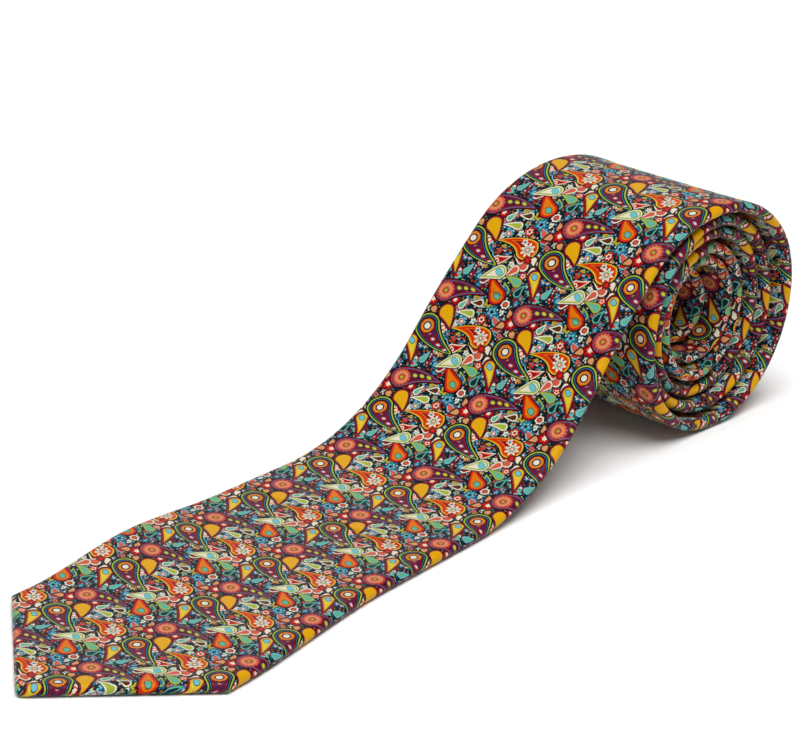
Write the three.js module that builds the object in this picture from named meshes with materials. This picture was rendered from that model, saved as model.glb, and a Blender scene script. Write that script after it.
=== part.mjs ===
// A printed silk necktie, rolled up from its tail, with the wide blade laid out flat in front of the roll.
// Units are millimetres, +Z is up. The tie runs along X: the tip of the wide blade is at -X, the roll at +X.
import * as THREE from 'three';

// ---------------------------------------------------------------- driving dimensions
const BLADE_WIDTH = 95;          // across the two corners of the wide end
const NECK_WIDTH = 38;           // narrowest stretch, behind the collar
const TAIL_WIDTH = 48;           // across the two corners of the narrow end
const STACK = 4.1;               // thickness of the soft folded tube, front face to back face
const TURN_PITCH = 5.5;          // radial distance from one turn of the roll to the next
const ROLL_RADIUS = 42.6;        // middle of the stack where the blade leaves the roll
const CORE_RADIUS = 9;           // middle of the stack at the very end of the tail
const FLAT_LENGTH = 186;         // stretch of the blade that lies flat
const FOOT_RADIUS = 92;          // bend from the flat up into the ramp
const SHOULDER_RADIUS = 48;      // bend from the ramp over onto the roll
const RAMP_ANGLE = THREE.MathUtils.degToRad(48);
const STATION_ANGLE = THREE.MathUtils.degToRad(20);   // one section every 20 degrees of bend
const GAP = 0.3;                 // clearance between pieces that touch
const SHELL_CLOTH = 0.5;         // silk, front and back
const INTERLINING_CLOTH = 1.6;
const TIPPING_CLOTH = 0.3;
const LABEL_CLOTH = 0.3;
const THREAD = 0.3;
const EDGE_ROUND = 1.5;          // how far the soft edge rounds inwards
const HEM = 14;                  // turned-in margin at both pointed ends
const BOW = 6.5;                 // sideways bow of the flat blade
const BOW_START = 50;            // the bow begins just behind the point
const BOW_END = 140;             // and is complete here

// ---------------------------------------------------------------- the line the tie follows
// s is the distance along the tie from the tip of the wide blade, at the middle of the stack.
const HALF_STACK = STACK / 2;
const FULL_TURN = Math.PI * 2;
const leaveAngle = STATION_ANGLE;                    // the blade leaves the roll just past its top
const bottomRadius = ROLL_RADIUS - TURN_PITCH * (Math.PI - leaveAngle) / FULL_TURN;
const rollHeight = bottomRadius + HALF_STACK;        // height of the roll's centre: the outer turn meets z = 0
const shoulderHeight = rollHeight - (SHOULDER_RADIUS - ROLL_RADIUS) * Math.cos(leaveAngle);
const bendRise = (FOOT_RADIUS + SHOULDER_RADIUS) * (1 - Math.cos(RAMP_ANGLE));
const rampLength = (shoulderHeight + SHOULDER_RADIUS - HALF_STACK - bendRise) / Math.sin(RAMP_ANGLE);
const footEnd = FLAT_LENGTH + FOOT_RADIUS * RAMP_ANGLE;
const rampEnd = footEnd + rampLength;
const crest = rampEnd + SHOULDER_RADIUS * RAMP_ANGLE;
const rollStart = crest + SHOULDER_RADIUS * leaveAngle;
const crestX = FLAT_LENGTH + (FOOT_RADIUS + SHOULDER_RADIUS) * Math.sin(RAMP_ANGLE)
  + rampLength * Math.cos(RAMP_ANGLE);
const rollX = crestX + (SHOULDER_RADIUS - ROLL_RADIUS) * Math.sin(leaveAngle);
const woundAngle = (ROLL_RADIUS - CORE_RADIUS) / TURN_PITCH * FULL_TURN;
const woundLength = (ROLL_RADIUS + CORE_RADIUS) / 2 * woundAngle;
const tieLength = rollStart + woundLength;

// Distance along the tie at an angle of winding, counted clockwise from the top of the roll.
function lengthAtAngle(angle) {
  const wound = angle - leaveAngle;
  return rollStart + ROLL_RADIUS * wound - TURN_PITCH * wound * wound / (2 * FULL_TURN);
}

// Middle of the stack in the XZ plane and the direction that the printed face looks in.
function guide(s) {
  if (s <= FLAT_LENGTH) {
    return { x: s, z: HALF_STACK, slope: 0 };
  }
  if (s <= footEnd) {
    const slope = (s - FLAT_LENGTH) / FOOT_RADIUS;
    const x = FLAT_LENGTH + FOOT_RADIUS * Math.sin(slope);
    return { x, z: HALF_STACK + FOOT_RADIUS * (1 - Math.cos(slope)), slope };
  }
  if (s <= rampEnd) {
    const run = s - footEnd;
    const x = FLAT_LENGTH + FOOT_RADIUS * Math.sin(RAMP_ANGLE) + run * Math.cos(RAMP_ANGLE);
    const z = HALF_STACK + FOOT_RADIUS * (1 - Math.cos(RAMP_ANGLE)) + run * Math.sin(RAMP_ANGLE);
    return { x, z, slope: RAMP_ANGLE };
  }
  if (s <= rollStart) {
    const slope = (crest - s) / SHOULDER_RADIUS;
    const x = crestX - SHOULDER_RADIUS * Math.sin(slope);
    return { x, z: shoulderHeight + SHOULDER_RADIUS * Math.cos(slope), slope };
  }
  const radius = Math.sqrt(Math.max(0, ROLL_RADIUS ** 2 - TURN_PITCH * (s - rollStart) / Math.PI));
  const angle = leaveAngle + (ROLL_RADIUS - radius) / TURN_PITCH * FULL_TURN;
  return { x: rollX + radius * Math.sin(angle), z: rollHeight + radius * Math.cos(angle), slope: -angle };
}

// ---------------------------------------------------------------- width and sideways place
const tipLength = BLADE_WIDTH / 2;                   // both ends are right-angled points
const tailTipLength = TAIL_WIDTH / 2;
const neckStart = 950;                               // the blade has narrowed to the neck here
const neckEnd = 1060;                                // and widens again towards the tail from here
const veeEnd = 104;                                  // the V between the flaps of the wide end closes here
const tailVeeStart = tieLength - 60;                 // and the one of the narrow end opens here
const tailCorner = tieLength - tailTipLength;
const liningEnd = tieLength - 10;                    // the inner layers stop short of the narrow point

function halfWidth(s) {
  if (s <= tipLength) {
    return s;
  }
  if (s <= neckStart) {
    return THREE.MathUtils.mapLinear(s, tipLength, neckStart, BLADE_WIDTH / 2, NECK_WIDTH / 2);
  }
  if (s <= neckEnd) {
    return NECK_WIDTH / 2;
  }
  if (s <= tailCorner) {
    return THREE.MathUtils.mapLinear(s, neckEnd, tailCorner, NECK_WIDTH / 2, TAIL_WIDTH / 2);
  }
  return tieLength - s;
}

// In the roll the near edges lie almost in one face: each turn is only a little deeper than the last.
const ROLL_FACE = 42.3;          // how far the outer turn's near edge is from the tip's centre line
const FACE_DEPTH = 12;           // how deep the face becomes towards the core
const FACE_FADE = 350;           // length of tie over which it deepens
const CORE_DEPTH = 10;           // extra depth of the last turns
const CORE_DEPTH_FROM = 210;     // the extra depth begins this far from the end of the tail
const CORE_DEPTH_TO = 60;        // and is complete here
const MERGE_START = 270;         // the blade's own centre line hands over to the roll's here
const MERGE_END = 400;
const smooth = THREE.MathUtils.smoothstep;

function centreLine(s) {
  const wound = Math.max(0, s - MERGE_END);
  const depth = FACE_DEPTH * (1 - Math.exp(-wound / FACE_FADE));
  const coreDepth = CORE_DEPTH * smooth(s, tieLength - CORE_DEPTH_FROM, tieLength - CORE_DEPTH_TO);
  const fullWidth = Math.max(halfWidth(Math.min(s, tailCorner)), NECK_WIDTH / 2);
  const inRoll = depth + coreDepth + fullWidth - ROLL_FACE;
  const onFlat = BOW * smooth(s, BOW_START, BOW_END);
  return THREE.MathUtils.lerp(onFlat, inRoll, smooth(s, MERGE_START, MERGE_END));
}

// A point at distance s along the tie, w across it and h above the middle of its stack.
function place(s, w, h) {
  const { x, z, slope } = guide(s);
  return [x - h * Math.sin(slope), centreLine(s) + w, z + h * Math.cos(slope)];
}

// ---------------------------------------------------------------- sections along the line
// Every swept piece uses the same stations, so neighbouring layers stay parallel.
const footSteps = 5;
const shoulderSteps = 3;
const nearestStation = 2;                            // two sections never lie closer together than this

function allStations() {
  const stations = [tipLength, (tipLength + veeEnd) / 2, veeEnd, BOW_END];
  for (let i = 0; i <= footSteps; i += 1) {
    stations.push(FLAT_LENGTH + (footEnd - FLAT_LENGTH) * i / footSteps);
  }
  for (let i = 0; i <= shoulderSteps; i += 1) {
    stations.push(rampEnd + (crest - rampEnd) * i / shoulderSteps);
  }
  for (let angle = leaveAngle; angle < leaveAngle + woundAngle; angle += STATION_ANGLE) {
    const s = lengthAtAngle(angle);
    if (s < tailCorner - nearestStation) {
      stations.push(s);
    }
  }
  stations.push(tailCorner, (tailCorner + liningEnd) / 2, liningEnd);
  return stations;
}
const STATIONS = allStations();

function stationsBetween(from, to) {
  const inside = STATIONS.filter((s) => s > from + nearestStation / 2 && s < to - nearestStation / 2);
  return [from, ...inside, to];
}

// Extrudes an outline given in (w, h) and lays each of its sections at a station.
// outlineAt(s) gives the outline there; it always has the same number of points.
function sweep(outlineAt, from, to) {
  const stations = stationsBetween(from, to);
  const steps = stations.length - 1;
  const middle = outlineAt((from + to) / 2);
  const shape = new THREE.Shape(middle.map(([w, h]) => new THREE.Vector2(w, h)));
  const geometry = new THREE.ExtrudeGeometry(shape, { depth: steps, steps, bevelEnabled: false });
  const position = geometry.attributes.position;
  const indexOf = new Map(middle.map(([w, h], i) => [pointKey(w, h), i]));
  const outlines = stations.map(outlineAt);
  for (let i = 0; i < position.count; i += 1) {
    const station = Math.round(position.getZ(i));
    const corner = indexOf.get(pointKey(position.getX(i), position.getY(i)));
    const [w, h] = outlines[station][corner];
    position.setXYZ(i, ...place(stations[station], w, h));
  }
  geometry.computeVertexNormals();
  return facingOut(geometry);
}

function pointKey(w, h) {
  return `${w.toFixed(3)},${h.toFixed(3)}`;
}

// Turns the triangles round where the sweep left them inside out.
function facingOut(geometry) {
  const position = geometry.attributes.position;
  const a = new THREE.Vector3();
  const b = new THREE.Vector3();
  const c = new THREE.Vector3();
  let volume = 0;
  for (let i = 0; i < position.count; i += 3) {
    a.fromBufferAttribute(position, i);
    b.fromBufferAttribute(position, i + 1);
    c.fromBufferAttribute(position, i + 2);
    volume += a.dot(b.cross(c));
  }
  if (volume < 0) {
    for (let i = 0; i < position.count; i += 3) {
      a.fromBufferAttribute(position, i);
      b.fromBufferAttribute(position, i + 1);
      position.setXYZ(i, b.x, b.y, b.z);
      position.setXYZ(i + 1, a.x, a.y, a.z);
    }
    geometry.computeVertexNormals();
  }
  return geometry;
}

// ---------------------------------------------------------------- outlines
// The silk is folded round into a flat tube whose two flaps meet along the middle of the back.
// flapGap is half the distance between the flaps: it opens into a V at both pointed ends.
const SEAM_GAP = GAP;

function flapGap(s) {
  const atTip = halfWidth(tipLength) - HEM;
  const atTail = halfWidth(tailCorner) - HEM;
  let gap = SEAM_GAP;
  if (s < tipLength) {
    gap = Math.max(SEAM_GAP, halfWidth(s) - HEM);
  } else if (s < veeEnd) {
    gap = THREE.MathUtils.mapLinear(s, tipLength, veeEnd, atTip, SEAM_GAP);
  } else if (s > tailCorner) {
    gap = Math.max(SEAM_GAP, halfWidth(s) - HEM);
  } else if (s > tailVeeStart) {
    gap = THREE.MathUtils.mapLinear(s, tailVeeStart, tailCorner, SEAM_GAP, atTail);
  }
  return gap;
}

function tubeHalf(side, halfW, gap, inset) {
  const face = HALF_STACK - inset;
  const shoulder = halfW - EDGE_ROUND;
  return [
    [side * gap, -face],
    [side * shoulder, -face],
    [side * (halfW - inset), 0],
    [side * shoulder, face],
  ];
}

function shellOutline(s) {
  const halfW = halfWidth(s);
  const gap = flapGap(s);
  const outer = [...tubeHalf(1, halfW, gap, 0), ...tubeHalf(-1, halfW, gap, 0).reverse()];
  const inner = [...tubeHalf(-1, halfW, gap, SHELL_CLOTH), ...tubeHalf(1, halfW, gap, SHELL_CLOTH).reverse()];
  return [...outer, ...inner];
}

function stripOutline(halfW, low, high) {
  return [[-halfW, low], [halfW, low], [halfW, high], [-halfW, high]];
}

const INTERLINING_TOP = HALF_STACK - SHELL_CLOTH - GAP;
const INTERLINING_LOW = INTERLINING_TOP - INTERLINING_CLOTH;
const INTERLINING_INSET = 2.2;
const TIPPING_LOW = -HALF_STACK + SHELL_CLOTH + GAP;
const TIPPING_INSET = 2.6;
const SLIP_STITCH_LOW = TIPPING_LOW;

function interliningOutline(s) {
  return stripOutline(halfWidth(s) - INTERLINING_INSET, INTERLINING_LOW, INTERLINING_TOP);
}

function tippingOutline(s) {
  return stripOutline(halfWidth(s) - TIPPING_INSET, TIPPING_LOW, TIPPING_LOW + TIPPING_CLOTH);
}

function slipStitchOutline() {
  return stripOutline(THREAD / 2, SLIP_STITCH_LOW, SLIP_STITCH_LOW + THREAD);
}

// ---------------------------------------------------------------- materials
const silk = { color: 0x3b3440, roughness: 0.5, metalness: 0 };
const wool = { color: 0xe8e2d2, roughness: 0.95, metalness: 0 };
const satin = { color: 0x14202c, roughness: 0.45, metalness: 0 };
const thread = { color: 0x1a2230, roughness: 0.7, metalness: 0 };
const labelCloth = { color: 0x101418, roughness: 0.6, metalness: 0 };

const group = new THREE.Group();

function add(name, geometry, look) {
  const mesh = new THREE.Mesh(geometry, new THREE.MeshStandardMaterial(look));
  mesh.name = name;
  group.add(mesh);
  return mesh;
}

// ---------------------------------------------------------------- where the pieces and bends divide
const tipHinge = 140;                           // the point folds up here
const bladeHinge = FLAT_LENGTH;                 // the flat blade lifts here
const rampHinge = crest;                        // the whole loose end lifts off the roll here
const NECK_SEAM_STEPS = 11;                     // stations from where the blade leaves the roll to each seam
const INTERLINING_SEAM_STEPS = 48;
const TAIL_SEAM_STEPS = 55;
const neckSeam = lengthAtAngle(leaveAngle + NECK_SEAM_STEPS * STATION_ANGLE);
const tailSeam = lengthAtAngle(leaveAngle + TAIL_SEAM_STEPS * STATION_ANGLE);
const interliningSeam = lengthAtAngle(leaveAngle + INTERLINING_SEAM_STEPS * STATION_ANGLE);
const HALF_GAP = GAP / 2;
const blunt = 4;                                // the two points stop just short of their apex
const innerBlunt = 6;                           // and the layers inside stop a little before that

function sweepPiece(name, outlineAt, from, to, look) {
  add(name, sweep(outlineAt, from + HALF_GAP, to - HALF_GAP), look);
}

// The silk shell: one front blade cut into stretches that move apart, then the neck and the tail.
sweepPiece('tip_shell', shellOutline, blunt, tipHinge, silk);
sweepPiece('blade_shell', shellOutline, tipHinge, bladeHinge, silk);
sweepPiece('ramp_shell', shellOutline, bladeHinge, rampHinge, silk);
sweepPiece('wound_shell', shellOutline, rampHinge, neckSeam, silk);
sweepPiece('neck_shell', shellOutline, neckSeam, tailSeam, silk);
sweepPiece('tail_shell', shellOutline, tailSeam, tieLength - blunt, silk);

// The interlining inside it.
sweepPiece('tip_interlining', interliningOutline, innerBlunt, tipHinge, wool);
sweepPiece('blade_interlining', interliningOutline, tipHinge, bladeHinge, wool);
sweepPiece('ramp_interlining', interliningOutline, bladeHinge, rampHinge, wool);
sweepPiece('wound_interlining', interliningOutline, rampHinge, interliningSeam, wool);
sweepPiece('tail_interlining', interliningOutline, interliningSeam, liningEnd, wool);

// The lining that shows in the V at both ends.
const TIPPING_REACH = 16;                       // the lining runs on past the foot of the V
sweepPiece('front_tipping', tippingOutline, innerBlunt, veeEnd + TIPPING_REACH, satin);
sweepPiece('tail_tipping', tippingOutline, tailVeeStart - TIPPING_REACH, liningEnd, satin);

// The slip stitch closes the back from V to V.
const STITCH_MARGIN = 2;
const stitchStart = veeEnd + TIPPING_REACH + STITCH_MARGIN;
const stitchEnd = tailVeeStart - TIPPING_REACH - STITCH_MARGIN;
sweepPiece('tip_slip_stitch', slipStitchOutline, stitchStart, tipHinge, thread);
sweepPiece('blade_slip_stitch', slipStitchOutline, tipHinge, bladeHinge, thread);
sweepPiece('ramp_slip_stitch', slipStitchOutline, bladeHinge, rampHinge, thread);
sweepPiece('wound_slip_stitch', slipStitchOutline, rampHinge, stitchEnd, thread);

// A bar tack bridges the two flaps at the foot of each V.
const TACK_LENGTH = 1.4;
const frontTack = veeEnd - 9;                   // both tacks sit where the flaps are still a little apart
const tailTack = tailVeeStart + 7;

function tackOutline(s) {
  return stripOutline(flapGap(s) - GAP, -HALF_STACK, -HALF_STACK + SHELL_CLOTH);
}
sweepPiece('front_bar_tack', tackOutline, frontTack, frontTack + TACK_LENGTH, thread);
sweepPiece('tail_bar_tack', tackOutline, tailTack, tailTack + TACK_LENGTH, thread);

// The spare end of the slip stitch lies as a loop in the V, so that the seam can give.
const LOOP_RADIUS = 3.5;
const LOOP_THREAD = 0.22;
const LOOP_SIDES = 6;
const LOOP_STEPS = 18;
const LOOP_CLEARANCE = 2;
const LOOP_LIFT = 0.02;                         // the loop just clears the surface that the tie lies on
const loopAt = frontTack - LOOP_RADIUS - LOOP_CLEARANCE;
const loopGeometry = new THREE.TorusGeometry(LOOP_RADIUS, LOOP_THREAD, LOOP_SIDES, LOOP_STEPS);
loopGeometry.translate(...place(loopAt, 0, -HALF_STACK + LOOP_THREAD + LOOP_LIFT));
add('reserve_thread_loop', loopGeometry, thread);

// The keeper loop, a strap of the same silk that holds the narrow end, sewn down at both sides.
const KEEPER_FROM = 236;
const KEEPER_WIDTH = 15;
const KEEPER_HALF = 24;
const KEEPER_SLACK = 1.6;
const KEEPER_CLOTH = 0.6;
const KEEPER_SEWN = 5;                          // flat stretch at each side, sewn to the back of the tie
const KEEPER_RISE = 5;                          // stretch over which the strap bows away from the back

function keeperOutline() {
  const top = -HALF_STACK - GAP;
  const ends = KEEPER_HALF - KEEPER_SEWN;
  const slack = ends - KEEPER_RISE;
  return [
    [-KEEPER_HALF, top], [-ends, top], [-slack, top - KEEPER_SLACK], [slack, top - KEEPER_SLACK],
    [ends, top], [KEEPER_HALF, top], [KEEPER_HALF, top - KEEPER_CLOTH], [ends, top - KEEPER_CLOTH],
    [slack, top - KEEPER_SLACK - KEEPER_CLOTH], [-slack, top - KEEPER_SLACK - KEEPER_CLOTH],
    [-ends, top - KEEPER_CLOTH], [-KEEPER_HALF, top - KEEPER_CLOTH],
  ];
}
sweepPiece('keeper_loop', keeperOutline, KEEPER_FROM, KEEPER_FROM + KEEPER_WIDTH, silk);

// Two blank labels, sewn to the back above the keeper loop.
const LABEL_TOP = -HALF_STACK - GAP;

function labelOutline(halfW) {
  return () => stripOutline(halfW, LABEL_TOP - LABEL_CLOTH, LABEL_TOP);
}
const MAKER_HALF = 24;
const MAKER_LENGTH = 22;
const CARE_HALF = 9;
const CARE_LENGTH = 16;
const makerFrom = footEnd + 2;
const careFrom = makerFrom + MAKER_LENGTH + 3;
sweepPiece('maker_label', labelOutline(MAKER_HALF), makerFrom, makerFrom + MAKER_LENGTH, labelCloth);
sweepPiece('care_label', labelOutline(CARE_HALF), careFrom, careFrom + CARE_LENGTH, labelCloth);

// ---------------------------------------------------------------- origin: centre of the base
const bounds = new THREE.Box3().setFromObject(group);
const centre = bounds.getCenter(new THREE.Vector3());
for (const mesh of group.children) {
  mesh.geometry.translate(-centre.x, -centre.y, -bounds.min.z);
}

export default group;
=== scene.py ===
# %% [markdown]
# # A rolled silk necktie
# A necktie is a soft flat tube. One long strip of printed silk is folded round a brushed wool
# interlining, and its two flaps are slip stitched together along the middle of the back. Here the tie is
# rolled up from its narrow end, and the last stretch of the wide blade lies out flat in front of the roll.
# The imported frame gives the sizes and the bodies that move. Everything that shows is made in this file:
# each piece of cloth is drawn flat first, as a tailor would lay it out, and is then laid along the line
# that the tie follows.

# %% Load the frame
import math

import bmesh
import bpy
import numpy as np
from mathutils import Matrix, Vector


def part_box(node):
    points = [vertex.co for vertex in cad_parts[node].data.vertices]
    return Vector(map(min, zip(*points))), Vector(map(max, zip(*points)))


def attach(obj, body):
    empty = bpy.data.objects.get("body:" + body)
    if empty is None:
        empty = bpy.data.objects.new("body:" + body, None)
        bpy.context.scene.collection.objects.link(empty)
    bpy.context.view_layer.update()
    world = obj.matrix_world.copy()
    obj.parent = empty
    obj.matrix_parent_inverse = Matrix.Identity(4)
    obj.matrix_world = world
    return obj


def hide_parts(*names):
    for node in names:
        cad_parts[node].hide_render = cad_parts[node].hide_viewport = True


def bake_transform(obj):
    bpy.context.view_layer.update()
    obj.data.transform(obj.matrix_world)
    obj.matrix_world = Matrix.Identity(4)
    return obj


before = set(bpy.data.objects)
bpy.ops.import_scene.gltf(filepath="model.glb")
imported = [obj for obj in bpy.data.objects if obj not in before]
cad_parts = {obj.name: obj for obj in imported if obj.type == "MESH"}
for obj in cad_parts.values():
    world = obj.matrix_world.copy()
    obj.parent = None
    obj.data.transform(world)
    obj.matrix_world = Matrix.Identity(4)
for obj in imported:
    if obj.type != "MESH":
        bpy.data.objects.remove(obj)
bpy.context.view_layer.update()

MM = 0.001

# %% [markdown]
# ## Camera
# A long lens from some distance keeps the roll and the tip in true proportion to each other. The camera
# stands in front and to the left, looking down at the blade, so that the coiled end of the roll shows.

# %% Camera
CAMERA_PLACE = Vector((-1.009, -0.801, 0.601))
CAMERA_HEADING = math.radians(38.3)
CAMERA_DROP = math.radians(23.0)
CAMERA_ROLL = math.radians(2.0)
CAMERA_LENS = 184.3

camera_data = bpy.data.cameras.new("camera")
camera_data.lens = CAMERA_LENS
camera_data.sensor_width = 36.0
camera_data.clip_start = 0.01
camera = bpy.data.objects.new("camera", camera_data)
camera.location = CAMERA_PLACE
heading = Matrix.Rotation(CAMERA_HEADING - math.pi / 2, 3, "Z")
tilt = Matrix.Rotation(math.pi / 2 - CAMERA_DROP, 3, "X")
camera.rotation_euler = (heading @ tilt @ Matrix.Rotation(CAMERA_ROLL, 3, "Z")).to_euler()
bpy.context.scene.collection.objects.link(camera)
bpy.context.scene.camera = camera
print("camera at", [round(v, 3) for v in CAMERA_PLACE], "lens", CAMERA_LENS)

# %% [markdown]
# ## Studio
# The tie lies on a seamless pale sheet. A soft light from far overhead leaves the gaps between the turns
# dark. One weaker light behind gives the crest of the roll its sheen, another opens up the ramp, and the
# surroundings glow only near the horizon.

# %% Floor and lights
def plain_material(name, colour, roughness):
    material = bpy.data.materials.new(name)
    material.use_nodes = True
    shader = material.node_tree.nodes["Principled BSDF"]
    shader.inputs["Base Color"].default_value = (*colour, 1.0)
    shader.inputs["Roughness"].default_value = roughness
    return material


FLOOR_HALF = 6.0
FLOOR_DROP = 0.0002
FLOOR_COLOUR = (0.93, 0.93, 0.93)
FLOOR_ROUGHNESS = 0.9
floor_mesh = bpy.data.meshes.new("floor")
floor_mesh.from_pydata(
    [(-FLOOR_HALF, -FLOOR_HALF, 0), (FLOOR_HALF, -FLOOR_HALF, 0), (FLOOR_HALF, FLOOR_HALF, 0),
     (-FLOOR_HALF, FLOOR_HALF, 0)], [], [(0, 1, 2, 3)])
floor = bpy.data.objects.new("floor", floor_mesh)
floor.location.z = -FLOOR_DROP
floor_mesh.materials.append(plain_material("floor_paper", FLOOR_COLOUR, FLOOR_ROUGHNESS))
bpy.context.scene.collection.objects.link(floor)


LIT_POINT = Vector((0.0, 0.0, 0.03))


def aim(holder, place):
    """Stands a light at place and turns it towards the tie."""
    holder.location = place
    direction = LIT_POINT - Vector(place)
    holder.rotation_euler = direction.to_track_quat("-Z", "Y").to_euler()
    bpy.context.scene.collection.objects.link(holder)


def soft_light(name, place, size, power):
    light = bpy.data.lights.new(name, "AREA")
    light.shape = "DISK"
    light.size = size
    light.energy = power
    aim(bpy.data.objects.new(name, light), place)


def sky_light(name, place, softness, strength):
    """A light from very far away, so the whole sheet of paper is equally bright."""
    light = bpy.data.lights.new(name, "SUN")
    light.angle = softness
    light.energy = strength
    aim(bpy.data.objects.new(name, light), place)


sky_light("key_light", (-0.2, -0.22, 1.0), math.radians(45), 3.3)
soft_light("crest_light", (1.0, 1.1, 0.9), 1.0, 3.2)
soft_light("front_light", (-1.1, -0.1, 1.2), 0.9, 1.1)

HORIZON_GLOW = 0.85
SKY_GLOW = 0.10
GLOW_TOP = 0.30
world = bpy.data.worlds.new("studio")
world.use_nodes = True
world_nodes, world_links = world.node_tree.nodes, world.node_tree.links
looking = world_nodes.new("ShaderNodeTexCoord")
looking_up = world_nodes.new("ShaderNodeSeparateXYZ")
glow = world_nodes.new("ShaderNodeMapRange")
glow.inputs["From Min"].default_value = GLOW_TOP / 2
glow.inputs["From Max"].default_value = GLOW_TOP
glow.inputs["To Min"].default_value = HORIZON_GLOW
glow.inputs["To Max"].default_value = SKY_GLOW
world_links.new(looking.outputs["Generated"], looking_up.inputs["Vector"])
world_links.new(looking_up.outputs["Z"], glow.inputs["Value"])
world_links.new(glow.outputs["Result"], world_nodes["Background"].inputs["Strength"])
world_nodes["Background"].inputs["Color"].default_value = (1.0, 1.0, 1.0, 1.0)
bpy.context.scene.world = world
bpy.context.scene.view_settings.view_transform = "Standard"

# %% [markdown]
# ## The line the tie follows
# Seen from the side, the tie is flat, bends up into a ramp, bends over the top of the roll and then winds
# inwards in a spiral, a little unevenly, as a coil rolled by hand does. These are the driving sizes of the
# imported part, in metres, and two boxes from the frame say where its own origin ended up.

# %% Driving sizes
BLADE_WIDTH = 0.095
NECK_WIDTH = 0.038
TAIL_WIDTH = 0.048
STACK = 0.0041
TURN_PITCH = 0.0055
ROLL_RADIUS = 0.0426
CORE_RADIUS = 0.009
FLAT_LENGTH = 0.186
FOOT_RADIUS = 0.092
SHOULDER_RADIUS = 0.048
RAMP_ANGLE = math.radians(48)
LEAVE_ANGLE = math.radians(20)
FULL_TURN = 2 * math.pi

bottom_radius = ROLL_RADIUS - TURN_PITCH * (math.pi - LEAVE_ANGLE) / FULL_TURN
roll_height = bottom_radius + STACK / 2
shoulder_height = roll_height - (SHOULDER_RADIUS - ROLL_RADIUS) * math.cos(LEAVE_ANGLE)
bend_rise = (FOOT_RADIUS + SHOULDER_RADIUS) * (1 - math.cos(RAMP_ANGLE))
ramp_length = (shoulder_height + SHOULDER_RADIUS - STACK / 2 - bend_rise) / math.sin(RAMP_ANGLE)
FOOT_END = FLAT_LENGTH + FOOT_RADIUS * RAMP_ANGLE
RAMP_END = FOOT_END + ramp_length
CREST = RAMP_END + SHOULDER_RADIUS * RAMP_ANGLE
ROLL_START = CREST + SHOULDER_RADIUS * LEAVE_ANGLE
crest_x = (FLAT_LENGTH + (FOOT_RADIUS + SHOULDER_RADIUS) * math.sin(RAMP_ANGLE)
           + ramp_length * math.cos(RAMP_ANGLE))
roll_x = crest_x + (SHOULDER_RADIUS - ROLL_RADIUS) * math.sin(LEAVE_ANGLE)
WOUND_ANGLE = (ROLL_RADIUS - CORE_RADIUS) / TURN_PITCH * FULL_TURN
TIE_LENGTH = ROLL_START + (ROLL_RADIUS + CORE_RADIUS) / 2 * WOUND_ANGLE

TIP_HINGE = 0.140
HALF_GAP = 0.00015
LOOSENESS = 0.0004
OVAL = 0.0012
OVAL_TILT = math.radians(35)
ORIGIN_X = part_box("blade_shell")[0].x - (TIP_HINGE + HALF_GAP)
ORIGIN_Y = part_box("tip_shell")[0].y + BLADE_WIDTH / 2
print("tie length (m):", round(TIE_LENGTH, 4), "origin:", round(ORIGIN_X, 4), round(ORIGIN_Y, 4))

# %% Distance along the tie at an angle of winding, and the line itself
def length_at_angle(angle):
    wound = angle - LEAVE_ANGLE
    return ROLL_START + ROLL_RADIUS * wound - TURN_PITCH * wound ** 2 / (2 * FULL_TURN)


def angle_at_length(s):
    radius = np.sqrt(np.maximum(0.0, ROLL_RADIUS ** 2 - TURN_PITCH * (s - ROLL_START) / math.pi))
    return LEAVE_ANGLE + (ROLL_RADIUS - radius) / TURN_PITCH * FULL_TURN, radius


def smooth(s, low, high):
    """0 below low, 1 above high, and an even slope between them."""
    t = np.clip((s - low) / (high - low), 0.0, 1.0)
    return t * t * (3 - 2 * t)


def uneven(angle, radius):
    """A coil rolled by hand: turns lie tight and loose by turns, and the core is a little oval."""
    loose = LOOSENESS * math.sin(angle / 2 + math.pi / 4) * smooth(angle, math.pi, FULL_TURN)
    depth = (ROLL_RADIUS - radius) / (ROLL_RADIUS - CORE_RADIUS)
    return radius + loose - OVAL * depth * math.cos(2 * (angle - OVAL_TILT))


def guide_point(s):
    """Middle of the stack in the XZ plane, at distance s from the tip of the blade."""
    if s <= FLAT_LENGTH:
        return s, STACK / 2
    if s <= FOOT_END:
        slope = (s - FLAT_LENGTH) / FOOT_RADIUS
        rise = FOOT_RADIUS * (1 - math.cos(slope))
        return FLAT_LENGTH + FOOT_RADIUS * math.sin(slope), STACK / 2 + rise
    if s <= RAMP_END:
        run = s - FOOT_END
        x = FLAT_LENGTH + FOOT_RADIUS * math.sin(RAMP_ANGLE) + run * math.cos(RAMP_ANGLE)
        return x, STACK / 2 + FOOT_RADIUS * (1 - math.cos(RAMP_ANGLE)) + run * math.sin(RAMP_ANGLE)
    if s <= ROLL_START:
        slope = (CREST - s) / SHOULDER_RADIUS
        back = SHOULDER_RADIUS * math.sin(slope)
        return crest_x - back, shoulder_height + SHOULDER_RADIUS * math.cos(slope)
    angle, radius = angle_at_length(s)
    radius = uneven(angle, radius)
    return roll_x + radius * math.sin(angle), roll_height + radius * math.cos(angle)


def lay_x(s):
    """The row-frame X of the guide at s."""
    return ORIGIN_X + guide_point(s)[0]


print("crest at x =", round(lay_x(CREST), 4), "turns:", round(WOUND_ANGLE / FULL_TURN, 2))

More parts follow.
